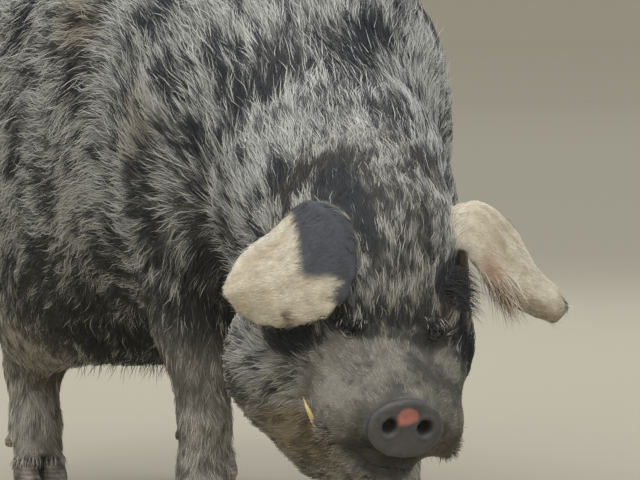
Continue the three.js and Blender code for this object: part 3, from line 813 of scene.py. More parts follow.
def ear_colours(points, shares, coat):
    head = in_head(points)
    x, y, z = head.T
    left, right = (smooth_step(shares[:, G[name]], 0.3, 0.6) for name in EARS)
    for name, ear in zip(EARS, (left, right)):
        coat = tinted(coat, ear, CREAM, 0.60)
        root, end = np.array(EARS_RUN[name])
        along = unit(end - root)
        squeezed = head - 0.88 * (head @ along)[:, None] * along
        streaks = waves(squeezed * MM, 0.010, 41)
        coat = lighter(coat, ear * (0.14 * waves(points, 0.022, 9) + 0.22 * streaks))
    border = 98 - 0.63 * (x + 92) + 4 * waves(points, 0.03, 13)
    corner = patch(head, (-66, 93, 114), (14, 15, 17), soft=0.3, seed=42)
    root = right * smooth_step(x, -123, -117) * np.maximum(smooth_step(y - border, -5, 6), corner)
    light, dark, share = tinted(coat, root, (EAR_GREY * 1.6, EAR_GREY), 0.35)
    nick = right * bell(np.linalg.norm(head - (-131, 92, 76), axis=1), 9)
    coat = (light, mixed(dark, NICK_BROWN, nick), share - share * nick)
    inner = right * patch(head, (-163, 102, 88), (18, 24, 14), soft=0.6, seed=18)
    coat = tinted(coat, 0.55 * inner, (CREAM[1] * 1.1, CREAM[1] * 0.8))
    root = left * (1 - smooth_step(x + 6 * waves(points, 0.03, 19), 52, 84))
    coat = tinted(coat, root * (1 - smooth_step(z, 150, 185)), (EAR_GREY * 4, EAR_GREY), 0.35)
    low = left * (1 - smooth_step(z - 120 + 0.25 * (x - 120), 0, 34))
    coat = lighter(tinted(coat, 0.75 * low, EAR_BROWN), -0.18 * low)
    flush = left * bell(np.linalg.norm(head - (99, 126, 152), axis=1), 12)
    coat = tinted(coat, 0.5 * flush, (PINK * 1.3, PINK))
    rim = shares[:, G["rim"]] * (left + right * smooth_step(x, -125, -160))
    return tinted(coat, 0.8 * rim, (WHITE, WHITE * 0.8), 0.7)


def markings(points, shares):
    """The lighter colour, the darker colour and the share of light hair at each point."""
    coat = body_colours(points, shares)
    coat = face_colours(points, shares, coat)
    coat = ear_colours(points, shares, coat)
    disc = smooth_step(shares[:, G["disc"]], 0.35, 0.65)
    coat = tinted(coat, disc, (BARE_NOSE * 1.5, BARE_NOSE))
    pink = disc * patch(in_head(points), (-5, 0, 15), (12, 30, 11), soft=0.2, rough=0.35, seed=11)
    light, dark, share = tinted(coat, pink, (PINK * 1.15, PINK))
    return light, dark, np.clip(share, 0.02, 0.98)


def as_colours(rgb):
    return np.c_[rgb, np.ones(len(rgb))].astype(np.float32).ravel()


def paint(mesh, name, colours):
    mesh.attributes.new(name, "FLOAT_COLOR", "POINT").data.foreach_set("color", as_colours(colours))


def measure(mesh, name, values):
    mesh.attributes.new(name, "FLOAT", "POINT").data.foreach_set("value", values.astype(np.float32))


# Painted shade: the skin under the coat is darkened to this share of the hair's colour, as the hair over it
# shades it.
SHADE_UNDER_COAT = 0.72  # the skin with its undercoat against the hair over it


def paint_skin(mesh, shares):
    light, dark, share = markings(points_of(mesh), shares)
    disc = smooth_step(shares[:, G["disc"]], 0.35, 0.65)
    # Painted shade: under the coat the skin leans to the dark hair and is darkened; the bare disc is not.
    colour = mixed(dark, light, share * (0.75 + 0.25 * disc))
    paint(mesh, "marking", colour * (SHADE_UNDER_COAT + (1 - SHADE_UNDER_COAT) * disc)[:, None])
    measure(mesh, "bare", disc)


paint_skin(skin_mesh, shares)
print("the skin is painted with", len(BLOTCHES) + len(HEAD_BLOTCHES), "dark patches")

# %% [markdown]
# ## The skin as a piece
# The skin is unwrapped once, by the angles of its own surface. The coat borrows this
# unwrap: each tuft gets a tiny patch of it at its root.


# %% Skin object and its unwrap
def unwrapped(name, mesh):
    thing = placed(name, mesh)
    mesh.polygons.foreach_set("use_smooth", np.ones(len(mesh.polygons), bool))
    mesh.uv_layers.new(name="OFBake")
    bpy.context.view_layer.objects.active = thing
    thing.select_set(True)
    bpy.ops.object.mode_set(mode="EDIT")
    bpy.ops.mesh.select_all(action="SELECT")
    bpy.ops.uv.smart_project(angle_limit=math.radians(72), island_margin=0.003)
    bpy.ops.object.mode_set(mode="OBJECT")
    thing.select_set(False)
    return thing


skin = unwrapped("skin", skin_mesh)
print("the skin is unwrapped:", len(skin_mesh.uv_layers), "map")

# %% [markdown]
# ## The lie of the coat
# Hair grows away from the nose: up and back over the forehead and neck, along the back, almost level
# along the ribs, down the thighs and legs and out along the ears. Each part has its own direction, the
# shares mix them, and the result is laid into the surface and turned a little by soft noise.

# %% Lie of the hair
# Places a little beyond the ears' tips, in the head's frame, to which their hair points.
EAR_TIPS = {"ear_left": (260, 116, 98), "ear_right": (-262, 108, 66)}


def lie(points, normals, shares):
    """Unit directions of the hair, lying in the surface."""
    head = in_head(points)
    x, y, z = points.T
    ones = np.ones(len(points))
    shoulder = 1 - smooth_step(y, -0.22, 0.06)
    low = 1 - smooth_step(z, 0.26, 0.50)
    rump = smooth_step(y, 0.40, 0.60)
    direction = {
        "trunk": np.stack([0 * x, ones, 0.75 * shoulder * (1 - low) - 0.12 - 0.35 * low - 1.2 * rump], 1),
        "neck": np.stack([0 * x, ones, 1.0 - 1.4 * low], axis=1),
        "leg": np.stack([0 * x, 0.25 * ones, -ones], axis=1),
        "tail": np.stack([0 * x, 0.1 * ones, -ones], axis=1),
    }
    side = np.sign(head[:, 0])
    upper = smooth_step(head[:, 2], -10, 60)
    over_face = np.stack([0.15 * side * (1 - upper), ones, 0.8 * upper - 0.5 * (1 - upper)], axis=1)
    from_disc = np.stack([head[:, 0] / 110, ones, (head[:, 2] + 8) / 130], axis=1)
    for name, own in (("head", over_face), ("jaw", over_face), ("snout", from_disc), ("disc", from_disc)):
        direction[name] = own @ HEAD_TURN.T
    for name, tip in EAR_TIPS.items():
        direction[name] = unit(out_of_head(tip) - points)
    blend = sum(unit(own) * shares[:, G[name], None] for name, own in direction.items())
    flat = unit(blend - normals * (blend * normals).sum(1, keepdims=True))
    body = shares[:, [G["trunk"], G["neck"]]].sum(1)
    turn = (0.12 + 0.16 * body) * waves(points, 0.12, 21) + (0.10 + 0.04 * body) * waves(points, 0.03, 22)
    return flat * np.cos(turn)[:, None] + np.cross(normals, flat) * np.sin(turn)[:, None]


# %% [markdown]
# ## Roots on the skin
# Hair is counted per square centimetre. Roots are drawn at random on the skin's triangles, with the
# place, the normal, the shares of the parts and the place on the unwrap all read off the same triangle.

# %% Roots
HAIR_ROWS = ("locks", "fine", "long", "length", "width", "lift")
# Locks, fine and long tufts on a square centimetre; length, width and height of the tip in millimetres.
HAIR = {
    "trunk": (0.55, 6.8, 3.0, 31, 0.97, 5.5),
    "neck": (0.60, 7.2, 3.4, 31, 0.97, 5.5),
    "head": (0.9, 13.0, 4.5, 17, 0.95, 3.0),
    "snout": (1.2, 25.0, 0.0, 8.5, 0.7, 1.5),
    "jaw": (0.9, 14.0, 3.0, 13, 0.9, 2.6),
    "disc": (1.0, 0.0, 0.0, 3, 0.5, 0.5),
    "tail": (0.8, 10.0, 3.0, 28, 1.1, 6.0),
    **dict.fromkeys(EARS, (1.2, 24.0, 0.0, 12, 0.75, 1.2)),
    "leg": (0.9, 13.0, 0.8, 17, 0.95, 2.8),
    "rim": (0, 0, 0, 0, 0, 0),
}
HAIR_TABLE = {row: np.array([HAIR[name][i] for name in G], float) for i, row in enumerate(HAIR_ROWS)}
skin_points, skin_normals = points_of(skin_mesh), normals_of(skin_mesh)
skin_tree = BVHTree.FromPolygons(skin_points.tolist(), [p.vertices for p in skin_mesh.polygons])
corners = read(skin_mesh.loops, "vertex_index", 1, np.int32).reshape(-1, 3)
corner_uvs = read(skin_mesh.uv_layers["OFBake"].data, "uv", 2).reshape(-1, 3, 2)
first, second, third = (skin_points[corners[:, c]] for c in range(3))
face_areas = np.linalg.norm(np.cross(second - first, third - first), axis=1) / 2
face_middles = (first + second + third) / 3
face_shares = shares[corners].mean(1)
face_normals = unit(skin_normals[corners].mean(1))
SQUARE_CM = 1e-4
print("skin area", round(face_areas.sum(), 3), "square metres")


def roots(chosen, density, draw):
    """Random roots on the chosen faces: places, normals, shares and places on the unwrap."""
    counts = np.floor(face_areas[chosen] / SQUARE_CM * density + draw.random(len(chosen))).astype(int)
    face = np.repeat(chosen, counts)
    a, b = draw.random((2, len(face)))
    over = a + b > 1
    a[over], b[over] = 1 - a[over], 1 - b[over]
    weights = np.stack([1 - a - b, a, b], axis=1)[:, :, None]
    place = (skin_points[corners[face]] * weights).sum(1)
    normal = unit((skin_normals[corners[face]] * weights).sum(1))
    return place, normal, (shares[corners[face]] * weights).sum(1), (corner_uvs[face] * weights).sum(1)


def above_skin(points, height):
    """Points moved to a height above the nearest place on the skin."""
    near = [skin_tree.find_nearest(Vector(p))[:2] for p in points]
    place = np.array([n[0] for n in near]).reshape(-1, 3)
    normal = np.array([n[1] for n in near]).reshape(-1, 3)
    return place + normal * height[:, None]


# %% [markdown]
# ## A tuft
# A tuft is a slim three-sided spike, a little flattened. A long one has a joint in its middle so that it
# can bend. Thousands are worked out at once as arrays, which no modelling operator does. Their shading
# normals lean towards the skin's own, so that the coat takes the light as a soft whole.

# %% Spikes
BAKE_PATCH = 0.0015
TRIANGLE = np.array([(1, 0), (-0.5, 0.87), (-0.5, -0.87)])
KEEL = 1.2  # height of a tuft's ridge against its half width


def spikes(base, middle, tip, normal, across, width, colour, uv):
    """Arrays for one set of tufts; middle is None for straight ones."""
    half = (width / 2)[:, None]
    sides = np.stack([across, -across, normal * KEEL], axis=1)
    rings = [base[:, None] + sides * half[:, None]]
    if middle is not None:
        rings.append(middle[:, None] + sides * half[:, None] * 0.95)
    points = np.concatenate([*rings, tip[:, None]], axis=1)
    count, size = points.shape[:2]
    faces = [(0, 1, 2)]
    for start in range(0, size - 4, 3):
        for a, b in ((0, 1), (1, 2), (2, 0)):
            faces += [(start + b, start + a, start + 3 + b), (start + 3 + b, start + a, start + 3 + a)]
    last = size - 4
    faces += [(last + 1, last, size - 1), (last + 2, last + 1, size - 1), (last, last + 2, size - 1)]
    along = np.append(np.repeat(np.linspace(0, 1, len(rings) + 1)[:-1], 3), 1.0)
    spots = np.array([TRIANGLE[i % 3] * (1 - 0.5 * s) for i, s in enumerate(along[:-1])] + [(0, 0)])
    leaning = np.concatenate([np.tile(sides, (1, len(rings), 1)), normal[:, None]], axis=1)
    return {
        "points": points.reshape(-1, 3),
        "faces": ((np.arange(count) * size)[:, None, None] + np.array(faces)[None]).reshape(-1, 3),
        "normals": unit(normal[:, None] + 0.45 * leaning).reshape(-1, 3),
        "hair": np.repeat(colour, size, axis=0),
        "tip": np.tile(along, count),
        "uv": (uv[:, None] + spots[None] * BAKE_PATCH).reshape(-1, 2),
    }


# %% [markdown]
# ## Growing the coat
# Wet or greasy hair sticks together in locks. Lock middles are strewn over the skin first, and each tuft
# then leans to the tip of its nearest lock, bends with it and mostly takes its colour, light or dark. So
# the coat reads as pale wisps over a dark ground, as roan hair does, and not as even noise.

# %% Tufts in locks
LEAN = 0.55  # how far a tuft turns towards its lock's tip
STRAY = 0.13  # how far it strays from that direction
LOCK_BEND, OWN_BEND = 0.10, 0.06
LOCK_TONE, OWN_TONE = 0.85, 0.65
ROOT_DEPTH = 0.5 * MM


def locks_on(chosen, draw):
    place, normal, share, _ = roots(chosen, face_shares[chosen] @ HAIR_TABLE["locks"], draw)
    tree = KDTree(len(place))
    for i, p in enumerate(place):
        tree.insert(p, i)
    tree.balance()
    length = share @ HAIR_TABLE["length"] * MM
    tip = place + lie(place, normal, share) * length[:, None]
    tone, bend = draw.normal(0, 1, len(place)), draw.normal(0, 1, len(place))
    return {"tree": tree, "tip": tip, "tone": tone, "bend": bend}


def tufts(chosen, kind, locks, draw):
    """One set of fine or long tufts over the chosen faces."""
    place, normal, share, uv = roots(chosen, face_shares[chosen] @ HAIR_TABLE[kind], draw)
    count = len(place)
    if count == 0:
        return None
    long = kind == "long"
    length, width, lift = (share @ HAIR_TABLE[row] * MM for row in ("length", "width", "lift"))
    length = length * draw.uniform(0.6, 1.2, count) * (1.2 if long else 0.9)
    lift = lift * draw.uniform(0.25, 1.0, count) ** (1 if long else 1.3) * (1.3 if long else 0.9)
    lock = np.array([locks["tree"].find(p)[1] for p in place])
    own = lie(place, normal, share)
    to_tip = locks["tip"][lock] - place
    to_tip -= normal * (to_tip * normal).sum(1, keepdims=True)
    along = unit(own + LEAN * (unit(to_tip) - own))
    stray = draw.normal(0, STRAY, count)[:, None]
    across = np.cross(normal, along)
    along = unit(along + across * stray)
    across = np.cross(normal, along)
    bend = (LOCK_BEND * locks["bend"][lock] + draw.normal(0, OWN_BEND, count))[:, None] * across
    tip = above_skin(place + (along + bend) * length[:, None], lift)
    base = place - normal * ROOT_DEPTH
    middle = above_skin(place + (along * 0.5 - bend * 0.15) * length[:, None], lift * 0.8) if long else None
    light, dark, light_share = markings(place, share)
    tone = LOCK_TONE * locks["tone"][lock] + draw.normal(0, OWN_TONE, count)
    is_light = smooth_step(2.2 * (light_share - 0.5) + 0.55 * tone, -0.45, 0.45)
    colour = mixed(dark, light, is_light) * draw.uniform(0.8, 1.2, count)[:, None]
    return spikes(base, middle, tip, normal, across, width, colour, uv)


def coat_piece(name, sets):
    """One mesh out of several sets of tufts."""
    sets = [s for s in sets if s is not None]
    starts = np.cumsum([0] + [len(s["points"]) for s in sets])
    triangles = np.concatenate([s["faces"] + start for s, start in zip(sets, starts)])
    whole = {key: np.concatenate([s[key] for s in sets]) for key in sets[0] if key != "faces"}
    mesh = bpy.data.meshes.new(name)
    mesh.vertices.add(len(whole["points"]))
    mesh.loops.add(triangles.size)
    mesh.polygons.add(len(triangles))
    mesh.vertices.foreach_set("co", whole["points"].astype(np.float32).ravel())
    mesh.loops.foreach_set("vertex_index", triangles.astype(np.int32).ravel())
    mesh.polygons.foreach_set("loop_start", np.arange(0, triangles.size, 3, dtype=np.int32))
    mesh.polygons.foreach_set("use_smooth", np.ones(len(triangles), bool))
    mesh.update(calc_edges=True)
    paint(mesh, "hair", whole["hair"])
    measure(mesh, "tip", whole["tip"])
    layer = mesh.uv_layers.new(name="OFBake")
    layer.data.foreach_set("uv", whole["uv"][triangles.ravel()].astype(np.float32).ravel())
    mesh.normals_split_custom_set_from_vertices(whole["normals"].tolist())
    thing = placed(name, mesh)
    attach(thing, "root")
    print(name, len(triangles), "triangles")
    return thing


# %% [markdown]
# ## Hair that stands out
# Some hair leaves the surface: whiskers on the lips and chin, eyelashes and brows, hair over the roots
# of the tusks, the ears' fringes, loose hair inside the left ear and a dark curl at its root, cuffs over
# the claws, bristles under the belly and a thin fringe on the back. They are bent tufts with an aim of
# their own, on faces picked by place.


# %% Bristles, whiskers, lashes and fringes
CLAWS = [n for n in nodes if n.startswith("claw")]
INSIDE = 2 * MM  # standing tips stay this far inside the solids' box


def bristles(inside, density, draw, aim, length, width, colours, sag=0.0):
    """Bent tufts that leave the skin. Aim gives directions, and sag is how far the tips drop."""
    chosen = np.flatnonzero(inside)
    place, normal, share, uv = roots(chosen, np.full(len(chosen), density), draw)
    count = len(place)
    if count == 0:
        return None
    along = unit(aim(place, normal, share) + draw.normal(0, 0.16, (count, 3)))
    reach = (length * MM * draw.uniform(0.55, 1.15, count))[:, None]
    across = unit(np.cross(normal + 0.2 * draw.normal(size=(count, 3)), along))
    outward = unit(np.cross(along, across))
    middle = place + along * reach * 0.5
    tip = place + reach * (along + np.array((0, 0, -sag)) + across * draw.normal(0, 0.12, (count, 1)))
    light, dark, light_share = markings(place, share)
    if colours is None:
        pick = draw.random(count) < light_share
        colour = np.where(pick[:, None], light, dark)
    else:
        colour = np.tile(colours, (count, 1)) * draw.uniform(0.7, 1.4, (count, 1))
    tip = np.clip(tip, np.array(cad_box[0]) + INSIDE, np.array(cad_box[1]) - INSIDE)
    wide = np.full(count, width * MM)
    return spikes(place - normal * ROOT_DEPTH, middle, tip, outward, across, wide, colour, uv)


main_group = face_shares[:, : len(GROUPS)].argmax(1)
face_in_head = in_head(face_middles)


def faces_of(*groups):
    return np.isin(main_group, [G[g] for g in groups])


def laid_and_lifted(lay, lift):
    return lambda place, normal, share: lay * lie(place, normal, share) + lift * normal


def towards(direction, lift):
    return lambda place, normal, share: np.array(direction) + lift * normal


def lashes(axes, draw):
    side, high, out = seen_from(axes, face_middles)
    reach = np.sqrt(side**2 + high**2 + out**2)
    upper_lid = (reach < 16) & (out > 3) & (np.abs(side) < 9)
    upper_lid &= (high > SLIT_HEIGHT * 0.6) & (high < SLIT_HEIGHT + 2.6)
    aim = axes[1] * 0.9 - axes[2] * 0.15
    return bristles(upper_lid, 55, draw, towards(aim, 0), 10, 0.5, CHARCOAL, 0.2)


def brow_hair(axes, draw):
    side, high, out = seen_from(axes, face_middles)
    brow = (out > -14) & (high > 7) & (high < 19) & (np.abs(side) < 17)
    aim = axes[1] * 0.75 - axes[2] * 0.75
    return bristles(brow, 16, draw, towards(aim, 0.3), 13, 0.8, None, 0.1)


def extras(draw):
    """Sets of standing hair by the name of the coat piece they join."""
    x, y, z = face_in_head.T
    belly = faces_of("trunk") & (face_normals[:, 2] < -0.15) & (face_middles[:, 2] < 0.32)
    lips = faces_of("snout", "jaw") & (y < 70) & (z < -10)
    from_root = np.linalg.norm(face_in_head - np.array((64, 114, 130)), axis=1)
    curl = faces_of("head", "ear_left") & (from_root < 26)
    one_side = np.stack([np.abs(x), y, z], axis=1)
    tusk_lip = np.linalg.norm(one_side - np.array((72, 50, -32)), axis=1) < 16
    cuffs = faces_of("leg") & (distance_to(face_middles, CLAWS, 14 * MM) < 9 * MM)
    inside_ear = faces_of("ear_left") & (x < 118) & (z < 150)
    rims = face_shares[:, G["rim"]] > 0.6
    back_fringe = faces_of("trunk", "neck") & (face_middles[:, 2] > 0.5)
    return {
        "face": [
            *(lashes(axes, draw) for axes in eye_frames.values()),
            *(brow_hair(axes, draw) for axes in eye_frames.values()),
            bristles(lips, 0.35, draw, laid_and_lifted(0.9, 0.6), 15, 0.35, BROWN[1], 0.25),
            bristles(tusk_lip, 22, draw, laid_and_lifted(0.9, 0.5), 12, 0.6, None),
            bristles(curl, 15, draw, towards((0.85, -0.1, -0.2), 0.1), 28, 0.6, CHARCOAL, 0.35),
        ],
        "legs": [bristles(cuffs, 11, draw, towards((0, 0, -1), 0.55), 17, 0.8, None, 0.1)],
        "ears": [
            bristles(rims & faces_of(*EARS), 10, draw, laid_and_lifted(1.0, 0.3), 10, 0.5, WHITE),
            bristles(inside_ear, 14, draw, towards((0.45, -0.2, -0.8), 0), 40, 0.8, None, 0.2),
        ],
        "belly": [bristles(belly, 0.4, draw, towards((0.05, 0.75, -0.45), 0.3), 34, 0.7, CHARCOAL, 0.15)],
        "back": [bristles(back_fringe, 0.35, draw, laid_and_lifted(1, 0.28), 34, 0.8, SILVER)],
    }


# %% [markdown]
# ## Coat pieces
# The coat is made in pieces small enough to handle. A region's faces are put in order from nose to
# tail and cut into lengths of about the same number of triangles.

# %% Coat
MOST_TRIANGLES = 170000
TRIANGLES = {"fine": 4, "long": 10}
COAT_REGIONS = {
    "face": faces_of("head", "snout", "jaw", "disc"),
    "ears": faces_of("ear_left", "ear_right"),
    "neck": faces_of("neck"),
    "back": faces_of("trunk") & (face_middles[:, 2] >= 0.52),
    "belly": faces_of("trunk") & (face_middles[:, 2] < 0.52),
    "legs": faces_of("leg", "tail"),
}


def lengths_of(inside):
    """The faces of a region, cut crosswise into lengths of at most about MOST_TRIANGLES of coat."""
    chosen = np.flatnonzero(inside)
    chosen = chosen[np.argsort(face_middles[chosen, 1])]
    density = sum(face_shares[chosen] @ HAIR_TABLE[kind] * TRIANGLES[kind] for kind in TRIANGLES)
    total = np.cumsum(density * face_areas[chosen] / SQUARE_CM)
    pieces = math.ceil(total[-1] / MOST_TRIANGLES)
    return np.array_split(chosen, np.searchsorted(total, total[-1] * np.arange(1, pieces) / pieces))


standing = extras(np.random.default_rng(90))
coat = []
for region, inside in COAT_REGIONS.items():
    for number, chosen in enumerate(lengths_of(inside)):
        draw = np.random.default_rng(40 + len(coat))
        locks = locks_on(chosen, draw)
        sets = [tufts(chosen, kind, locks, draw) for kind in TRIANGLES]
        if number == 0:
            sets += standing.get(region, [])
        coat.append(coat_piece(f"coat_{region}_{number + 1}", sets))
print("the coat has", sum(len(piece.data.polygons) for piece in coat), "triangles")

# %% [markdown]
# ## Eyeballs
# Each eyeball is a finer sphere in the place of the CAD one. Its pole looks ahead, and the angle from that
# pole is kept as an attribute, so that the material can draw a round pupil, a brown iris and a paler
# rim in the right place whichever way the eye looks.

# %% Eyeballs
PIECES = {}


def standing_piece(name, mesh, replaced):
    thing = placed(name, mesh)
    mesh.polygons.foreach_set("use_smooth", np.ones(len(mesh.polygons), bool))
    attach(thing, "root")
    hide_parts(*replaced)
    PIECES[name] = thing
    print(name, len(mesh.polygons), "faces")


for name, axes in eye_frames.items():
    ball = bmesh.new()
    bmesh.ops.create_uvsphere(ball, u_segments=40, v_segments=24, radius=(EYE_RADIUS - 0.1) * MM)
    turn = Vector(axes[1]).to_track_quat("Z", "Y").to_matrix().to_4x4()
    bmesh.ops.transform(ball, matrix=Matrix.Translation(axes[0].tolist()) @ turn, verts=ball.verts)
    mesh = bpy.data.meshes.new(name)
    ball.to_mesh(mesh)
    ball.free()
    side, high, out = seen_from(axes, points_of(mesh))
    measure(mesh, "from_pole", np.degrees(np.arctan2(np.hypot(side, 1.25 * high), out)) / 60)
    standing_piece(name + "ball", mesh, [name])

# %% [markdown]
# ## Tusks and hooves
# The CAD tusks and claws are faceted. Copies of them are wrapped by a fine voxel remesh and smoothed a
# little, which rounds the facets and keeps the form. The flats that stand on the floor are then laid
# back on it.

# %% Tusks and hooves
DEWCLAWS = [n for n in nodes if n.startswith("dewclaw")]
TUSKS = ["tusk_left", "tusk_right"]


def rounded(names, voxel, rounds):
    """Copies of the named nodes as one finer mesh, smoothed and standing on the floor where they did."""
    mesh = modified(joined_copy(names), "REMESH", mode="VOXEL", voxel_size=voxel * MM)
    mesh = modified(mesh, "SMOOTH", factor=0.5, iterations=rounds)
    points = points_of(mesh)
    points[points[:, 2] < 1.2 * MM, 2] = 0
    set_points(mesh, points)
    return mesh


standing_piece("hooves", rounded(CLAWS, 1.7, 5), CLAWS)
standing_piece("dewclaws", rounded(DEWCLAWS, 1.2, 5), DEWCLAWS)
standing_piece("tusks", rounded(TUSKS, 0.7, 5), TUSKS)
for name in TUSKS:
    low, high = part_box(name)
    print(name, "spans", round((high - low).length / MM), "mm")

# %% [markdown]
# ## Shared grain
# Skin, horn, ivory and hair all have a fine uneven grain over a broader mottle. It is one node group:
# it takes a place and two scales, and gives a mask for colour and a height for bump. Each material
# uses it with its own values.


# %% Grain group
def node_in(tree, kind, values, links):
    """A new node with values on some inputs and links to others."""
    node = tree.nodes.new("ShaderNode" + kind)
    for key, value in values.items():
        node.inputs[key].default_value = value
    for key, socket in links.items():
        tree.links.new(socket, node.inputs[key])
    return node


def grain_group():
    group = bpy.data.node_groups.new("surface_grain", "ShaderNodeTree")
    face = group.interface
    face.new_socket("Place", in_out="INPUT", socket_type="NodeSocketVector")
    for name, default in (("Mottle Scale", 30.0), ("Grain Scale", 400.0), ("Balance", 0.5)):
        face.new_socket(name, in_out="INPUT", socket_type="NodeSocketFloat").default_value = default
    face.new_socket("Mask", in_out="OUTPUT", socket_type="NodeSocketFloat")
    face.new_socket("Height", in_out="OUTPUT", socket_type="NodeSocketFloat")
    start, end = group.nodes.new("NodeGroupInput"), group.nodes.new("NodeGroupOutput")
    noises = []
    for name, detail in (("Mottle Scale", 4), ("Grain Scale", 2)):
        sockets = {"Vector": start.outputs["Place"], "Scale": start.outputs[name]}
        noises.append(node_in(group, "TexNoise", {"Detail": detail}, sockets).outputs["Fac"])
    sockets = {"Factor": start.outputs["Balance"], "A": noises[0], "B": noises[1]}
    blend = node_in(group, "Mix", {}, sockets)
    mask = node_in(group, "MapRange", {"From Min": 0.32, "From Max": 0.68}, {"Value": noises[0]})
    group.links.new(mask.outputs["Result"], end.inputs["Mask"])
    group.links.new(blend.outputs["Result"], end.inputs["Height"])
    return group


GRAIN = grain_group()
print("the grain group has", len(GRAIN.nodes), "nodes")

# %% [markdown]
# ## Materials
# Hair is darker at the root, where it is dense and shaded, and paler at the tip. The skin carries the
# same markings, is dull under the coat and moist on the nose disc. Horn has growth rings that run
# round the claw and pale scuffs, ivory is mottled with stains, and the eye is wet and nearly black.


# %% Materials
def new_material(name, values):
    """A material, its node tree and its shader with the given values."""
    material = bpy.data.materials.new(name)
    material.use_nodes = True
    shader = material.node_tree.nodes["Principled BSDF"]
    for key, value in values.items():
        shader.inputs[key].default_value = value
    return material, material.node_tree, shader


def attribute(tree, name):
    node = tree.nodes.new("ShaderNodeAttribute")
    node.attribute_name = name
    return node


def grain(tree, mottle, fine, balance):
    place = node_in(tree, "TexCoord", {}, {}).outputs["Object"]
    node = tree.nodes.new("ShaderNodeGroup")
    node.node_tree = GRAIN
    node.inputs["Mottle Scale"].default_value = mottle
    node.inputs["Grain Scale"].default_value = fine
    node.inputs["Balance"].default_value = balance
    tree.links.new(place, node.inputs["Place"])
    return node


def ranged(tree, value, low, high):
    """A value of 0 to 1 mapped to low to high."""
    return node_in(tree, "MapRange", {"To Min": low, "To Max": high}, {"Value": value}).outputs["Result"]


def scaled(tree, colour, amount):
    node = tree.nodes.new("ShaderNodeVectorMath")
    node.operation = "SCALE"
    tree.links.new(colour, node.inputs[0])
    tree.links.new(amount, node.inputs["Scale"])
    return node.outputs["Vector"]


def ramp(tree, value, stops):
    node = tree.nodes.new("ShaderNodeValToRGB")
    node.color_ramp.elements[0].position, node.color_ramp.elements[0].color = stops[0]
    node.color_ramp.elements[1].position, node.color_ramp.elements[1].color = stops[-1]
    for position, colour in stops[1:-1]:
        node.color_ramp.elements.new(position).color = colour
    tree.links.new(value, node.inputs["Fac"])
    return node.outputs["Color"]


def bumped(tree, height, strength, distance, shader):
    node = node_in(tree, "Bump", {"Strength": strength, "Distance": distance}, {"Height": height})
    tree.links.new(node.outputs["Normal"], shader.inputs["Normal"])


def hair_material():
    values = {"Roughness": 0.55, "Specular IOR Level": 0.3}
    material, tree, shader = new_material("roan_hair", values)
    shade = ranged(tree, attribute(tree, "tip").outputs["Fac"], 0.62, 1.28)
    hair = scaled(tree, attribute(tree, "hair").outputs["Color"], shade)
    uneven = ranged(tree, grain(tree, 60, 500, 0.5).outputs["Height"], 0.75, 1.25)
    tree.links.new(scaled(tree, hair, uneven), shader.inputs["Base Color"])
    return material


def skin_material():
    material, tree, shader = new_material("pig_skin", {})
    surface_grain = grain(tree, 90, 900, 0.6)
    marking = attribute(tree, "marking").outputs["Color"]
    uneven = ranged(tree, surface_grain.outputs["Mask"], 0.82, 1.15)
    tree.links.new(scaled(tree, marking, uneven), shader.inputs["Base Color"])
    bare = attribute(tree, "bare").outputs["Fac"]
    tree.links.new(ranged(tree, bare, 0.85, 0.40), shader.inputs["Roughness"])
    bumped(tree, surface_grain.outputs["Height"], 0.6, 1.5 * MM, shader)
    return material


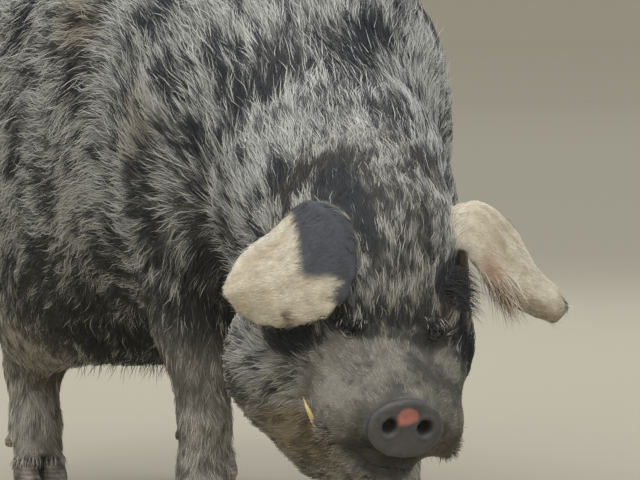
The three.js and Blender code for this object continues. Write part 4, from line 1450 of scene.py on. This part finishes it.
def horn_material():
    material, tree, shader = new_material("hoof_horn", {"Roughness": 0.55})
    surface_grain = grain(tree, 45, 600, 0.5)
    place = node_in(tree, "TexCoord", {}, {}).outputs["Object"]
    rings = node_in(tree, "TexWave", {"Scale": 55, "Distortion": 2.5}, {"Vector": place})
    rings.wave_type, rings.bands_direction = "BANDS", "Z"
    colour = ramp(tree, surface_grain.outputs["Mask"], HORN_STOPS)
    ringed = scaled(tree, colour, ranged(tree, rings.outputs["Fac"], 0.8, 1.2))
    tree.links.new(ringed, shader.inputs["Base Color"])
    bumped(tree, rings.outputs["Fac"], 0.5, 0.6 * MM, shader)
    return material


def ivory_material():
    material, tree, shader = new_material("worn_ivory", {"Roughness": 0.38})
    surface_grain = grain(tree, 70, 500, 0.4)
    tree.links.new(ramp(tree, surface_grain.outputs["Mask"], IVORY_STOPS), shader.inputs["Base Color"])
    bumped(tree, surface_grain.outputs["Height"], 0.35, 0.4 * MM, shader)
    return material


def eye_material():
    material, tree, shader = new_material("wet_eye", {"Roughness": 0.07, "Coat Weight": 0.6})
    iris = ramp(tree, attribute(tree, "from_pole").outputs["Fac"], EYE_STOPS)
    uneven = ranged(tree, grain(tree, 300, 1500, 0.5).outputs["Mask"], 0.7, 1.3)
    tree.links.new(scaled(tree, iris, uneven), shader.inputs["Base Color"])
    return material


HORN_STOPS = [
    (0.0, (0.075, 0.065, 0.054, 1)),
    (0.5, (0.17, 0.15, 0.122, 1)),
    (1.0, (0.34, 0.305, 0.25, 1)),
]
IVORY_STOPS = [
    (0.0, (0.34, 0.20, 0.06, 1)),
    (0.45, (0.62, 0.46, 0.17, 1)),
    (1.0, (0.80, 0.68, 0.38, 1)),
]
EYE_STOPS = [
    (0.0, (0.004, 0.004, 0.005, 1)),
    (0.30, (0.005, 0.004, 0.004, 1)),
    (0.36, (0.055, 0.028, 0.014, 1)),
    (0.62, (0.035, 0.018, 0.010, 1)),
    (0.70, (0.012, 0.008, 0.007, 1)),
    (0.95, (0.16, 0.13, 0.12, 1)),
]
FINISHES = {
    "hooves": horn_material(),
    "tusks": ivory_material(),
    "eye_leftball": eye_material(),
}
FINISHES["dewclaws"] = FINISHES["hooves"]
FINISHES["eye_rightball"] = FINISHES["eye_leftball"]
for name, piece in PIECES.items():
    piece.data.materials.clear()
    piece.data.materials.append(FINISHES[name])
roan_hair = hair_material()
for piece in coat:
    piece.data.materials.append(roan_hair)
skin_mesh.materials.clear()
skin_mesh.materials.append(skin_material())
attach(skin, "root")
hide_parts(*FLESH)
print("finishes:", sorted({m.name for m in FINISHES.values()} | {"roan_hair", "pig_skin"}))
